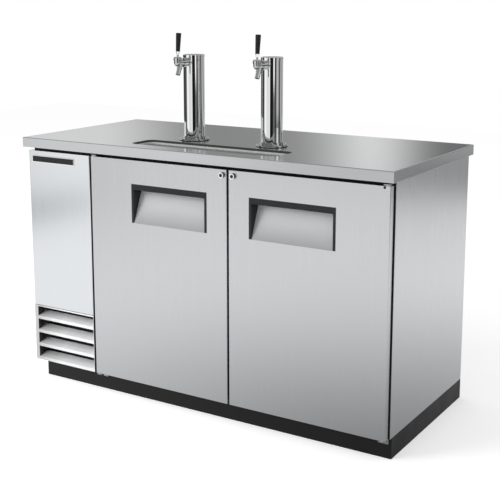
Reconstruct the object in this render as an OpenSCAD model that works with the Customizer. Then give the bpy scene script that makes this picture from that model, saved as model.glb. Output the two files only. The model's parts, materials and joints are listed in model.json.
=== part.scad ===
// Two-keg direct draw beer dispenser: refrigerated cabinet, two doors, drip tray and two tap towers.
// X runs to the right, -Y is the front, Z is up, and the origin is on the floor under the worktop's middle.

/* [Worktop] */
// Width of the worktop
top_w = 1502; // [1440:1:1700]
// Depth of the worktop
top_d = 689; // [660:1:800]
// Height of the worktop surface above the floor
top_z = 942; // [900:1:1020]
// Height of the worktop's folded edge
edge_h = 36; // [30:1:50]
// Rounding of the worktop's upper edges
edge_r = 3; // [1.6:0.1:6]
// Thickness of the worktop, panel and housing sheet
sheet_t = 1.5; // [1:0.1:2.5]
// Overhang of the worktop past each side panel
side_over = 12; // [6:1:25]
// Overhang of the worktop past the back panel
back_over = 12; // [8:1:25]

/* [Cabinet] */
// Height of the base frame
base_h = 72; // [56:1:110]
// Setback of the base frame's front from the worktop's front edge
base_set = 60; // [54:1:90]
// Inset of the base frame at the left end
base_inset = 18; // [0:1:40]
// Width of the base frame's channel flanges
base_flange = 40; // [25:1:60]
// Thickness of the base frame's steel
base_t = 3; // [2:0.5:5]
// Thickness of the insulated walls
wall_t = 50; // [40:1:70]
// Thickness of the inner liner
liner_t = 1; // [0.6:0.1:2]
// Thickness of the front frame strips
strip_t = 12; // [11:0.5:20]
// Depth of the post between the doors
mullion_d = 45; // [30:1:60]
// Rounding of the post's rear edges
mullion_r = 8; // [2:1:14]
// Width of the machine compartment
machine_w = 291.5; // [285:0.5:330]
// Thickness of the machine compartment's floor tray
tray_t = 2; // [1:0.5:4]

/* [Doors] */
// Setback of the door faces from the worktop's front edge
door_set = 18; // [10:1:30]
// Thickness of the door pan
door_t = 22; // [18:1:30]
// Thickness of the door skin
skin_t = 1.2; // [0.8:0.1:2]
// Rounding of the door's front edges
door_r = 3; // [1.5:0.5:6]
// Space between door and frame that the gasket fills
gasket_t = 8; // [5:0.5:12]
// Width of the gasket
gasket_w = 14; // [10:1:16]
// Inset of the gasket's bulb on each side of its foot
bulb_in = 2; // [1:0.5:4]
// Distance of the gasket from the door's edge
gasket_in = 28; // [26:1:29]
// Gap beside and between the doors
door_gap = 7; // [6:0.5:12]
// Gap between door and worktop
head_gap = 14; // [10:1:24]
// Gap between door and base frame
foot_gap = 2; // [2:0.5:8]
// Inset of the right door's outer edge from the side panel
door_inset = 5; // [2:1:12]
// Overlap of the doors on the frame
door_lap = 45; // [44:1:49]
// Depth of the plug behind the door pan
plug_d = 40; // [36:1:60]
// Clearance of the plug in the frame
plug_clear = 6; // [5:0.5:12]
// Rounding of the plug's corners
plug_r = 16; // [4:1:30]
// Distance of the hinge axis from the door's outer edge
hinge_in = 12; // [11:0.5:14]
// Distance of the hinge axis behind the door's face
hinge_set = 10; // [9.5:0.5:11]
// Radius of the hinge pins
pin_r = 4; // [3:0.25:5]
// Running clearance of pins, shafts and plugs
run_clear = 0.05; // [0.02:0.01:0.1]
// Wall of the hinge bushes
bush_t = 3; // [2:0.5:3.5]
// Width of the bushes' rims
rim_w = 2; // [1:0.5:2.5]
// Length of the hinge bushes inside the door
bush_l = 14; // [8:1:24]
// Thickness of the hinge brackets
bracket_t = 4; // [3:0.5:6]
// Width of the hinge brackets
bracket_w = 20; // [18:1:40]
// Distance of the hinge brackets' outer edge from the hinge axis
bracket_out = 8; // [6:0.5:11]
// Height of the hinge brackets' screwed legs
bracket_leg = 22; // [14:1:36]

/* [Door handles] */
// Width of the handle moulding
grip_w = 320; // [200:1:400]
// Height of the handle moulding
grip_h = 140; // [110:1:200]
// Distance of the handle below the door's top edge
grip_drop = 84; // [60:1:160]
// Distance of the handle from the door's free edge
grip_edge = 80; // [60:1:110]
// Height of the pull lip
lip_h = 21; // [14:1:30]
// Thickness of the pull lip
lip_t = 10; // [6:1:14]
// Width of the moulding's side cheeks
cheek_t = 10; // [4:0.5:14]
// Thickness of the pocket's roof and back wall
pocket_t = 5; // [3:0.5:8]
// Depth of the finger ramp at its top
ramp_d = 48; // [40:1:54]
// Distance of the ramp's top below the moulding's top
ramp_drop = 23; // [16:1:34]

/* [Locks] */
// Distance of the lock from the door's free edge
lock_in = 18; // [14:0.5:18]
// Distance of the lock below the door's top edge
lock_drop = 19; // [16:1:22]
// Radius of the lock's bezel
bezel_r = 10; // [9:0.5:11]
// Height of the bezel on the door's face
bezel_h = 8; // [1:0.5:12]
// Radius of the lock barrel in the door
barrel_r = 8.5; // [7.5:0.25:8.5]
// Radius of the turning plug
lock_r = 6; // [5:0.25:6.5]
// Length of the lock's cam
cam_l = 18; // [14:1:20]
// Width of the lock's cam
cam_w = 7; // [5:0.5:8]
// Thickness of the lock's cam
cam_t = 3.5; // [2:0.5:4]
// Clearance of the cam in its keeper
cam_clear = 1.2; // [1:0.1:1.5]
// Thickness of the keeper's face
keeper_t = 5; // [4:0.5:5]
// Gap between the cam and the keeper's face
cam_gap = 1; // [0.5:0.25:1.5]
// Width of the key slot
key_w = 1.6; // [1:0.1:2.5]
// Height of the key slot
key_h = 5.5; // [4:0.25:7]
// Depth of the key slot
key_d = 2.5; // [1:0.5:6]

/* [Machine front] */
// Height of the louvre grille above the doors' lower edge
grille_h = 218; // [180:1:260]
// Gap between grille and machine panel
panel_gap = 2; // [1:0.5:5]
// Number of louvre slats
slat_n = 4; // [3:1:6]
// Depth of the louvre slats
slat_d = 44; // [24:1:68]
// Height of the louvre slats' front lip
slat_lip = 12; // [5:1:20]
// Rise of the louvre slats behind their lip
slat_rise = 12; // [6:1:20]
// Thickness of the louvre slats
slat_t = 1.5; // [1:0.1:2.5]
// Width of the grille's outer stile
stile_w = 16; // [8:1:30]
// Height of the grille's upper rail
rail_h = 5; // [3:0.5:10]
// Number of vents in the back panel
vent_n = 8; // [3:1:12]
// Width of the back panel's vents
vent_w = 150; // [80:1:220]
// Height of the back panel's vents
vent_h = 9; // [5:0.5:12]
// Pitch of the back panel's vents
vent_pitch = 24; // [18:1:36]
// Height of the lowest vent above the compartment's floor
vent_lift = 60; // [30:1:120]

/* [Towers] */
// Distance between the towers
tower_pitch = 328; // [280:1:420]
// Distance of the towers behind the worktop's front edge
tower_set = 278; // [260:1:360]
// Height of the towers above the worktop
tower_h = 310; // [280:1:420]
// Outer diameter of the columns
column_d = 76.2; // [70:0.1:90]
// Wall of the columns
column_t = 1.6; // [1:0.1:3]
// Diameter of the tower flange
flange_d = 112; // [108:1:140]
// Thickness of the tower flange
flange_t = 5; // [3:0.5:8]
// Height of the collar on the flange
collar_h = 9; // [4:1:20]
// Wall of the collar on the flange
collar_t = 4; // [2:0.5:6]
// Thickness of the gasket under the flange
seat_t = 2; // [1:0.5:4]
// Diameter of the passage from the cabinet into the towers
passage_d = 60; // [50:1:64]
// Height of the cap's skirt
cap_h = 10; // [6:0.5:10]
// Thickness of the cap's top
cap_t = 2; // [1:0.5:4]
// Thickness of the cap's skirt
skirt_t = 1; // [0.6:0.1:2]
// Rounding of the cap's upper edge
cap_r = 1.5; // [0.5:0.25:1.75]
// Number of screws in each flange
screw_n = 4; // [3:1:6]
// Radius of the flange screws
screw_r = 2.5; // [2:0.25:3]
// Reach of the flange screws below the worktop surface
screw_l = 12; // [8:1:16]
// Radius of the flange screws' heads
head_r = 4.5; // [4:0.25:5]
// Thickness of the foam sleeve in the columns
foam_t = 10; // [6:1:18]

/* [Taps] */
// Distance of the shank below the tower's top
shank_drop = 26; // [24:1:40]
// Radius of the shank
shank_r = 11; // [10.5:0.25:12]
// Radius of the shank's socket for the tap
socket_r = 8; // [7.5:0.25:8.5]
// Depth of the shank's socket for the tap
socket_l = 16; // [10:1:18]
// Radius across the corners of the nut inside the column
hex_r = 14.3; // [13.5:0.1:16]
// Radius of the shank's saddle on the column
saddle_r = 15; // [13:0.5:15]
// Reach of the saddle's face in front of the column
saddle_l = 7; // [4:1:12]
// Distance of the lever in front of the tower's axis
tap_reach = 100; // [99:1:120]
// Distance between the shank's end and the lever
body_l = 38; // [37.5:0.5:42]
// Radius of the coupling nut
nut_r = 16; // [15:0.25:20]
// Length of the coupling nut
nut_l = 21; // [12:1:21]
// Number of spanner holes in the coupling nut
spanner_n = 8; // [4:1:10]
// Radius of the spanner holes
spanner_r = 2; // [1.5:0.25:2.5]
// Depth of the spanner holes and the nut's groove
spanner_d = 2; // [1:0.25:2.5]
// Height of the lever's pivot above the shank's axis
pivot_h = 14; // [13.5:0.25:16]
// Radius of the lever's ball
ball_r = 9; // [8:0.25:9.5]
// Clearance around the lever's ball
ball_clear = 0.3; // [0.2:0.05:0.6]
// Backward lean of the lever at rest, in degrees
lever_lean = 5; // [0:0.5:8]
// Travel of the lever, in degrees
lever_travel = 40; // [20:1:42]
// Radius of the lever's neck above its ball
neck_r = 3.5; // [3:0.25:3.75]
// Radius of the lever's finger below its ball
finger_r = 2.4; // [2:0.1:2.75]
// Radius of the finger's round tip
tip_r = 3; // [2.75:0.25:3.25]
// Clearance of the finger's tip in the plunger's slot
tip_clear = 1.2; // [1:0.1:1.5]
// Radius of the plunger that the finger moves
plunger_r = 5.5; // [5:0.25:6]
// Height of the plunger's flat above its axis
plunger_flat = 3.5; // [3.2:0.1:3.8]
// Radius of the plunger's stem
stem_r = 3.8; // [3:0.1:4.25]
// Reach of the plunger in front of the lever
plunger_front = 7; // [5.5:0.5:7.5]
// Reach of the plunger's guide behind the lever
plunger_back = 10; // [9:0.5:12]
// Distance of the valve seat behind the lever
seat_l = 32; // [31:0.5:34]
// Radius of the hole in the valve seat
seat_r = 5.2; // [4.75:0.05:5.5]
// Thickness of the valve seat
seat_wall = 4; // [3:0.5:6]
// Radius of the valve disc and of the passage ahead of the seat
disc_r = 7; // [6.5:0.25:7.25]
// Thickness of the valve disc
disc_t = 4.7; // [3:0.1:5]
// Radius of the body around the lever
boss_r = 13; // [12.5:0.25:15]
// Radius of the bonnet
bonnet_r = 14.5; // [13.5:0.25:17]
// Height of the bonnet above the pivot
bonnet_h = 7; // [6:0.25:8]
// Depth of the bonnet's foot below the pivot
bonnet_sink = 6; // [5:0.25:6.5]
// Rounding of the bonnet's upper edge
bonnet_round = 3.5; // [2:0.25:4]
// Clearance of the lever's neck in the bonnet's opening
neck_clear = 0.5; // [0.3:0.1:1]
// Radius of the spout
spout_r = 8.5; // [7.5:0.25:9.5]
// Radius of the spout's bore
spout_bore_r = 5.5; // [4:0.25:6]
// Drop of the spout's mouth below the shank's axis
spout_drop = 42; // [36:1:60]
// Distance of the spout's root behind the lever
spout_back = 18; // [14:0.5:20]
// Drop of the spout's root below the shank's axis
root_drop = 2; // [0:0.5:4]
// Distance of the spout's ring from its root
ring_at = 16.5; // [14:0.5:24]
// Width of the spout's ring
ring_w = 4.5; // [2:0.5:8]
// Height of the spout's ring
ring_h = 1.2; // [0.5:0.1:2]
// Height of the ferrule's foot above the pivot
ferrule_z = 15; // [14.5:0.5:20]
// Radius of the ferrule's foot
ferrule_r = 4.5; // [3.75:0.25:5.5]
// Length of the ferrule
ferrule_l = 11; // [8:1:24]
// Length of the tap handle
handle_l = 65; // [45:1:110]
// Radius of the tap handle's top
handle_top_r = 9.6; // [8:0.1:16]
// Radius of the tap handle's foot
handle_foot_r = 7.4; // [7:0.1:10]
// Rounding of the tap handle's crown
crown_r = 2.5; // [1:0.25:5]
// Radius of the threaded stud under the handle
stud_r = 4.75; // [4:0.05:5]
// Length of the threaded stud under the handle
stud_l = 14; // [8:1:30]

/* [Drip tray] */
// Width of the drip recess
drip_w = 608; // [400:1:700]
// Depth of the drip recess from front to back
drip_d = 125; // [110:1:140]
// Distance of the recess behind the worktop's front edge
drip_set = 70; // [60:1:76]
// Corner radius of the recess
drip_r = 30; // [24:1:40]
// Depth of the grates below the worktop
drip_sink = 13.5; // [8:0.5:18]
// Slope of the recess walls, inward
drip_draft = 8; // [3:0.5:12]
// Width of the ledge that carries the grates
ledge_w = 9; // [6:0.5:12]
// Depth of the sump under the grates
sump_h = 14; // [8:1:16]
// Wall of the drip pan
pan_t = 1.2; // [0.8:0.1:2]
// Thickness of the drip grates
grate_t = 3; // [2:0.5:4]
// Clearance around the drip grates
grate_clear = 1; // [0.5:0.1:2]
// Columns of slots in each grate
slot_cols = 32; // [12:1:36]
// Rows of slots in each grate
slot_rows = 2; // [1:1:3]
// Width of the slots
slot_w = 4.4; // [3:0.1:6]
// Margin of the grates around their slots
grate_edge = 7; // [4:0.5:12]
// Web between the rows of slots
slot_web = 6; // [4:0.5:12]
// Radius of the drain spud
spud_r = 9; // [7:0.5:12]
// Wall of the drain spud
spud_t = 2; // [1.5:0.5:3]
// Radius of the drain spud's hose tail
spud_tail_r = 8; // [6.5:0.25:8.5]
// Length of the drain spud's hose tail
spud_tail_l = 40; // [20:1:80]
// Reach of the drain spud's shoulder under the cabinet's ceiling
spud_drop = 8; // [4:1:20]

/* [Cooling system] */
// Depth of the evaporator cover from the wall
evap_d = 150; // [145:1:200]
// Width of the evaporator cover from front to back
evap_w = 390; // [340:1:440]
// Height of the evaporator cover
evap_h = 336; // [300:1:420]
// Gap between evaporator cover and ceiling
evap_drop = 20; // [10:1:60]
// Gap between evaporator cover and back wall
evap_back = 40; // [20:1:80]
// Distance of the evaporator fan below the cover's upper edge
evap_fan_drop = 150; // [125:1:165]
// Number of return slots under the evaporator cover
return_n = 8; // [4:1:12]
// Width of the return slots
return_w = 12; // [6:1:18]
// Distance of the return slots from the wall
return_in = 50; // [30:1:60]
// Length of the return slots
return_l = 70; // [40:1:80]
// Number of rings in the fan guard
guard_n = 4; // [2:1:6]
// Width of the fan guard's rings and spokes
guard_w = 3; // [2:0.5:5]
// Inset of the evaporator coil in its cover
coil_in = 30; // [20:1:40]
// Thickness of the evaporator coil
evap_coil_t = 40; // [30:1:45]
// Radius of the fan rotors
rotor_r = 88; // [70:1:92]
// Width of the fan rotors
rotor_w = 24; // [16:1:30]
// Number of blades on each fan
blade_n = 5; // [3:1:7]
// Chord of the fan blades
blade_chord = 52; // [30:1:60]
// Pitch of the fan blades, in degrees
blade_pitch = 24; // [15:1:35]
// Thickness of the fan blades
blade_t = 2; // [1:0.5:3]
// Gap between each fan's rotor and its plate
rotor_gap = 6; // [4:1:10]
// Gap between each fan's rotor and its motor
motor_space = 12; // [6:1:16]
// Clearance of the fan rotors in their rings
duct_clear = 6; // [3:0.5:7]
// Distance of the motors' posts from the rotors
post_clear = 16; // [12:0.5:17]
// Radius of the motors' posts
post_r = 4.5; // [3:0.5:5]
// Radius of the motors' arms
arm_bar_r = 3.5; // [2.5:0.5:4.5]
// Radius of the fan hubs
hub_r = 22; // [16:1:30]
// Radius of the fan shafts
shaft_r = 3; // [2.5:0.25:4]
// Radius of the fan motors
motor_r = 36; // [28:1:42]
// Length of the fan motors
motor_l = 45; // [30:1:48]
// Thickness of the condenser coil
cond_t = 50; // [30:1:70]
// Distance of the condenser coil behind the front frame
cond_set = 42; // [40:1:80]
// Height of the condenser coil beyond its fan's rotor
cond_rim = 40; // [36:1:60]
// Distance of the condenser coil from the compartment's walls
cond_in = 14; // [8:1:20]
// Depth of the condenser's fan shroud
shroud_d = 20; // [12:1:30]
// Number of grooves between the coil fins
fin_n = 24; // [10:1:36]
// Width of the coils' end plates
coil_end = 8; // [4:1:14]
// Radius of the compressor
comp_r = 80; // [65:1:95]
// Height of the compressor's shell
comp_h = 190; // [160:1:230]
// Height of the compressor's feet
comp_foot = 16; // [8:1:30]
// Radius of the compressor's feet
comp_foot_r = 12; // [8:1:16]
// Distance of the compressor's feet in from its shell, along X and Y
comp_foot_in = 20; // [10:1:30]
// Rounding of the compressor's shell
comp_dome = 24; // [12:1:40]
// Height of the compressor's weld seam above its shell's foot
comp_waist = 104; // [80:1:120]
// Reach of the compressor's weld seam past its shell
comp_seam = 4; // [2:0.5:6]
// Distance of the compressor from the back of the cabinet
comp_back = 200; // [140:1:240]
// Length of the compressor's line stubs
stub_l = 8; // [4:1:16]
// Wall of the compressor's line stubs
stub_t = 2; // [1:0.5:3]
// Radius of the suction line
suction_r = 7; // [5:0.5:9]
// Radius of the liquid and discharge lines
liquid_r = 4; // [3:0.5:6]
// Height of the suction line above the evaporator cover's lower edge
suction_h = 60; // [30:1:90]
// Height of the liquid line above the evaporator cover's lower edge
liquid_h = 110; // [104:1:200]
// Distance of the suction line's riser from the cold wall
riser_in = 26; // [14:1:40]
// Distance of the liquid line's drop from the compressor's axis
liquid_off = 70; // [50:1:85]
// Height of the discharge line above the compressor
discharge_h = 120; // [60:1:160]
// Length of the filter drier
drier_l = 100; // [60:1:120]
// Radius of the filter drier
drier_r = 12; // [9:0.5:18]
// Radius of the temperature dial
dial_r = 19; // [14:1:26]
// Thickness of the temperature dial
dial_t = 14; // [8:1:20]
// Distance of the dial from the evaporator cover's lower front corner
dial_in = 50; // [34:1:60]
// Length of the dial's shaft behind the cover
dial_shaft = 8; // [4:1:16]
// Number of flutes round the dial
flute_n = 12; // [6:1:18]
// Radius of the dial's flutes
flute_r = 3; // [1.5:0.25:4]

/* [Line connections] */
// Radius of the gas line's bore through the back wall
gas_r = 12; // [8:0.5:16]
// Wall of the gas line's bush
gas_t = 3; // [2:0.5:5]
// Distance of the gas line from the right side panel
gas_in = 140; // [100:1:300]
// Distance of the gas line below the ceiling
gas_drop = 80; // [60:1:200]
// Radius of the beer tubes
tube_r = 4.75; // [4:0.25:6]
// Wall of the beer tubes
tube_t = 1; // [0.5:0.25:1.5]
// Length of the beer tubes' end nuts
tube_nut_l = 16; // [8:1:24]
// Reach of the beer tubes below the ceiling
tube_drop = 60; // [40:1:120]
// Length of the beer tubes' hose tails
tail_l = 22; // [14:1:30]
// Radius of the beer tubes' hose tails
tail_r = 4; // [3:0.25:5]

/* [Hidden] */
$fn = 64;

steel = "#c9ccce";
dark = "#2a2b2d";
chrome = "#e4e7ea";
foam = "#e9dfb8";
copper = "#b8734a";

// Overshoot of cutting shapes past the faces they open
over = 1;
// Gap that keeps flat faces of moving pieces apart
part_gap = 0.3;
// Seam between neighbouring slabs, strips and rails
seam = 0.2;
// Thickness of the slices that a drafted wall is stretched between
slice = 0.01;

// Cabinet planes
top_y0 = -top_d / 2;
cab_x = top_w / 2 - side_over;
cab_y0 = top_y0 + door_set + door_t + gasket_t;
cab_y1 = top_d / 2 - back_over;
cab_z1 = top_z - edge_h;
strip_y1 = cab_y0 + strip_t;
wall_x = cab_x - sheet_t;
wall_y1 = cab_y1 - sheet_t;
part_x0 = -cab_x + machine_w;
in_x0 = part_x0 + wall_t;
in_x1 = cab_x - wall_t;
in_y1 = cab_y1 - wall_t;
in_z0 = base_h + wall_t;
in_z1 = cab_z1 - wall_t;
base_y0 = top_y0 + base_set;
tray_z = base_h + tray_t;

// Door planes
door_y0 = top_y0 + door_set;
door_y1 = door_y0 + door_t;
door_z0 = base_h + foot_gap;
door_z1 = cab_z1 - head_gap;
doors_x0 = part_x0 + door_gap;
doors_x1 = cab_x - door_inset;
door_w = (doors_x1 - doors_x0 - door_gap) / 2;
door_mid_x = (doors_x0 + doors_x1) / 2;
hinge_y = door_y0 + hinge_set;
bush_r = pin_r + bush_t;
rim_r = bush_r + rim_w;
plug_in = door_lap + plug_clear;
lock_x = door_w - lock_in;
lock_z = door_z1 - lock_drop;

// Handle outline in the door
grip_x1 = door_w - grip_edge;
grip_x0 = grip_x1 - grip_w;
grip_z1 = door_z1 - grip_drop;
grip_z0 = grip_z1 - grip_h;
ramp_z1 = grip_z1 - ramp_drop;

// Machine front planes
grille_z1 = door_z0 + grille_h;
panel_z0 = grille_z1 + panel_gap;

// Drip tray outlines
drip_y = top_y0 + drip_set + drip_d / 2;
rim_size = [drip_w, drip_d];
ledge_size = [drip_w - 2 * drip_draft, drip_d - 2 * drip_draft];
rim_in = rim_size - 2 * pan_t * [1, 1];
ledge_in = ledge_size - 2 * pan_t * [1, 1];
sump_size = [ledge_size.x - 2 * ledge_w, ledge_size.y - 2 * ledge_w];
ledge_r = drip_r - drip_draft;
sump_r = ledge_r - ledge_w;
ledge_z = top_z - drip_sink - grate_t;
sump_z = ledge_z - sump_h;
grate_size = [ledge_in.x / 2 - 1.5 * grate_clear, ledge_in.y - 2 * grate_clear];

// Tower and tap places
tower_y = top_y0 + tower_set;
flange_z = top_z + seat_t;
column_z = flange_z + flange_t;
tower_z = top_z + tower_h;
column_r = column_d / 2;
column_in_r = column_r - column_t;
screw_ring_r = (flange_d / 2 + column_r + collar_t) / 2;
shank_z = tower_z - shank_drop;
tap_y = tower_y - tap_reach;
pivot_z = shank_z + pivot_h;
bonnet_z = pivot_z - bonnet_sink;
tip_y = -pivot_h * sin(lever_lean);
disc_y = seat_l + part_gap;
tube_x = tower_pitch / 2;

// Cooling system places
evap_y1 = in_y1 - evap_back;
evap_y0 = evap_y1 - evap_w;
evap_z1 = in_z1 - evap_drop;
evap_z0 = evap_z1 - evap_h;
evap_x1 = in_x0 + evap_d;
evap_fan = [evap_x1 - sheet_t, evap_y0 + evap_w / 2, evap_z1 - evap_fan_drop];
cond_x0 = -wall_x + cond_in;
cond_x1 = part_x0 - cond_in;
cond_y0 = cab_y0 + cond_set;
cond_y1 = cond_y0 + cond_t;
cond_z1 = tray_z + 2 * rotor_r + cond_rim;
cond_fan = [(cond_x0 + cond_x1) / 2, cond_y1 + shroud_d, (tray_z + cond_z1) / 2];
motor_gap = rotor_gap + rotor_w + motor_space;
arm_r = rotor_r + post_clear;
duct_r = rotor_r + duct_clear;
comp_at = [cond_fan.x, cab_y1 - comp_back, tray_z];
comp_top = tray_z + comp_foot + comp_h;
inlet_z = tray_z + comp_foot + comp_waist / 2;
line_y = comp_at.y;
suction_z = evap_z0 + suction_h;
liquid_z = evap_z0 + liquid_h;
dial_at = [evap_x1, evap_y0 + dial_in, evap_z0 + dial_in];
gas_at = [cab_x - gas_in, in_z1 - gas_drop];

// Box between two opposite corners
module block(low, high) {
  translate(low) cube(high - low);
}

// Flat outline in YZ, extruded from x0 to x1
module along_x(x0, x1) {
  translate([x0, 0, 0]) rotate([90, 0, 90]) linear_extrude(x1 - x0) children();
}

// Flat outline in XZ, extruded from y0 to y1
module along_y(y0, y1) {
  translate([0, y1, 0]) rotate([90, 0, 0]) linear_extrude(y1 - y0) children();
}

// Upright cylinder between two heights, around a point
module post(at, z0, z1, r) {
  translate([at.x, at.y, z0]) cylinder(h = z1 - z0, r = r);
}

// Cylinder along Y between two depths, around a point in XZ
module bore_y(x, z, y0, y1, r) {
  translate([x, y0, z]) rotate([-90, 0, 0]) cylinder(h = y1 - y0, r = r);
}

// Cylinder along X between two places, around a point in YZ
module bore_x(y, z, x0, x1, r) {
  translate([x0, y, z]) rotate([0, 90, 0]) cylinder(h = x1 - x0, r = r);
}

// Round bar between two points
module bar(a, b, r) {
  d = b - a;
  translate(a) rotate([0, acos(d.z / norm(d)), atan2(d.y, d.x)]) cylinder(h = norm(d), r = r);
}

// Tube through a list of points, with brazed elbows a quarter thicker than the tube at the corners
module pipe(points, r) {
  for (i = [1 : len(points) - 1]) bar(points[i - 1], points[i], r);
  for (i = [1 : len(points) - 2]) translate(points[i]) sphere(1.25 * r);
}

// Rectangle with round corners, around the origin
module rounded_rect(size, r) {
  square([size.x - 2 * r, size.y], center = true);
  square([size.x, size.y - 2 * r], center = true);
  for (sx = [-1, 1], sy = [-1, 1]) {
    translate([sx * (size.x / 2 - r), sy * (size.y / 2 - r)]) circle(r);
  }
}

// Slot with half-round ends along Y, around the origin
module slot_outline(size) {
  run = size.y - size.x;
  square([size.x, run], center = true);
  for (y = [-run / 2, run / 2]) translate([0, y]) circle(size.x / 2);
}

// Rectangle from the origin whose two corners at y = 0 are round
module front_rounded(size, r) {
  translate([0, r]) square([size.x, size.y - r]);
  translate([r, 0]) square([size.x - 2 * r, r]);
  for (x = [r, size.x - r]) translate([x, r]) circle(r);
}

// Both tower axes
module at_towers() {
  for (x = [-tube_x, tube_x]) translate([x, tower_y, 0]) children();
}

// Frame of one tap: the lever's pivot line is the origin of X and Y, heights stay
module at_tap(side) {
  translate([side * tube_x, tap_y, 0]) children();
}

// Frame of one door: x runs from the hinge edge to the free edge, depths and heights stay
module at_door(side) {
  if (side < 0) translate([doors_x0, 0, 0]) children();
  else translate([doors_x1, 0, 0]) mirror([1, 0, 0]) children();
}

// Cooling passages under the towers, the drain's hole and the drip pan's space
module top_passages(z0, z1) {
  at_towers() post([0, 0], z0, z1, passage_d / 2);
  post([0, drip_y], z0, z1, spud_r);
  pan_outer();
}

// Base and cabinet shell

// Steel channel with closed ends that opens towards the given side
module channel(size, side) {
  hollow = size - 2 * base_t * [1, 1, 1];
  difference() {
    cube(size);
    translate(base_t * [1 + 2 * side.x, 1 + 2 * side.y, 1]) cube(hollow);
    translate(base_t * [1, 1, 1]) cube(hollow);
  }
}

module base_frame() {
  x0 = -cab_x + base_inset;
  rail = [cab_x - x0, base_flange, base_h];
  stile = [base_flange, cab_y1 - base_y0 - 2 * base_flange - 2 * seam, base_h];
  stile_y = base_y0 + base_flange + seam;
  color(dark) {
    translate([x0, base_y0, 0]) channel(rail, [0, 1]);
    translate([x0, cab_y1 - base_flange, 0]) channel(rail, [0, -1]);
    translate([x0, stile_y, 0]) channel(stile, [1, 0]);
    translate([cab_x - base_flange, stile_y, 0]) channel(stile, [-1, 0]);
    block([-wall_x, base_y0, base_h + seam], [part_x0, wall_y1, tray_z]);
  }
}

module right_side_panel() {
  color(steel) block([wall_x, cab_y0, base_h], [cab_x, cab_y1, cab_z1]);
}

module left_side_panel() {
  color(steel) block([-cab_x, cab_y0, base_h], [-wall_x, cab_y1, cab_z1]);
}

module back_panel() {
  vent_x = (-wall_x + part_x0) / 2;
  color(steel) difference() {
    block([-wall_x, wall_y1, base_h], [wall_x, cab_y1, cab_z1]);
    for (i = [0 : vent_n - 1]) translate([vent_x, 0, tray_z + vent_lift + i * vent_pitch]) {
      along_y(wall_y1 - over, cab_y1 + over) rotate(90) slot_outline([vent_h, vent_w]);
    }
    bore_y(gas_at.x, gas_at.y, wall_y1 - over, cab_y1 + over, gas_r + gas_t);
  }
}

module cabinet_insulation() {
  x0 = in_x0 - liner_t;
  x1 = in_x1 + liner_t;
  y1 = in_y1 + liner_t;
  z0 = in_z0 - liner_t;
  z1 = in_z1 + liner_t;
  color(foam) {
    block([part_x0, strip_y1, base_h], [wall_x, wall_y1, z0]);
    difference() {
      block([part_x0, strip_y1, z1], [wall_x, wall_y1, cab_z1]);
      top_passages(z1 - over, cab_z1 + over);
    }
    block([x1, strip_y1, z0 + seam], [wall_x, wall_y1, z1 - seam]);
    difference() {
      block([part_x0, strip_y1, z0 + seam], [x0, wall_y1, z1 - seam]);
      bore_x(line_y, suction_z, part_x0 - over, in_x0 + over, suction_r);
      bore_x(line_y, liquid_z, part_x0 - over, in_x0 + over, liquid_r);
    }
    difference() {
      block([x0 + seam, y1, z0 + seam], [x1 - seam, wall_y1, z1 - seam]);
      bore_y(gas_at.x, gas_at.y, in_y1 - over, cab_y1, gas_r + gas_t);
    }
  }
}

module inner_liner() {
  low = [in_x0, strip_y1, in_z0];
  high = [in_x1, in_y1, in_z1];
  color("#d8dadb") difference() {
    block(low - [liner_t, 0, liner_t], high + [liner_t, liner_t, liner_t]);
    block(low - [0, over, 0], high);
    at_towers() post([0, 0], in_z1 - over, in_z1 + 2 * over + liner_t, passage_d / 2);
    post([0, drip_y], in_z1 - over, in_z1 + 2 * over + liner_t, spud_r);
    bore_x(line_y, suction_z, in_x0 - 2 * over - liner_t, in_x0 + over, suction_r);
    bore_x(line_y, liquid_z, in_x0 - 2 * over - liner_t, in_x0 + over, liquid_r);
    bore_y(gas_at.x, gas_at.y, in_y1 - over, in_y1 + 2 * over + liner_t, gas_r + gas_t);
  }
}

// Slot and pocket in the header that a lock's cam turns in
module lock_keeper() {
  x = cam_w / 2 + cam_clear;
  z = cam_l / 2 + cam_clear;
  block([lock_x - x, cab_y0 - over, lock_z - z], [lock_x + x, strip_y1 + over, lock_z + z]);
  bore_y(lock_x, lock_z, cab_y0 + keeper_t, strip_y1 + over, z);
}

module frame_strips() {
  head_z = door_z1 - door_lap;
  color(dark) {
    difference() {
      block([-wall_x, cab_y0, head_z], [wall_x, strip_y1, cab_z1]);
      for (side = [-1, 1]) at_door(side) lock_keeper();
    }
    block([part_x0, cab_y0, base_h], [wall_x, strip_y1, in_z0]);
    block([part_x0, cab_y0, in_z0 + seam], [doors_x0 + door_lap, strip_y1, head_z - seam]);
    block([doors_x1 - door_lap, cab_y0, in_z0 + seam], [wall_x, strip_y1, head_z - seam]);
  }
}

module centre_mullion() {
  half = door_gap / 2 + door_lap;
  head_z = door_z1 - door_lap;
  color(dark) translate([door_mid_x, cab_y0, in_z0]) linear_extrude(head_z - in_z0) {
    translate([half, mullion_d]) rotate(180) front_rounded([2 * half, mullion_d], mullion_r);
  }
}

// Machine compartment front

module machine_front_panel() {
  size = [machine_w, cab_y0 - door_y0];
  color(steel) difference() {
    translate([-cab_x, door_y0, panel_z0]) linear_extrude(door_z1 - panel_z0) front_rounded(size, door_r);
    block([-cab_x + skin_t, door_y0 + skin_t, panel_z0 + skin_t],
      [part_x0 - skin_t, cab_y0 + over, door_z1 - skin_t]);
  }
}

// Cross-section of one louvre slat: an upright front lip and a blade that rises to the back
module slat_outline() {
  back_z = slat_lip + slat_rise;
  polygon([[0, 0], [slat_t, 0], [slat_t, slat_lip - slat_t], [slat_d, back_z - slat_t], [slat_d, back_z],
    [0, slat_lip]]);
}

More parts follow.
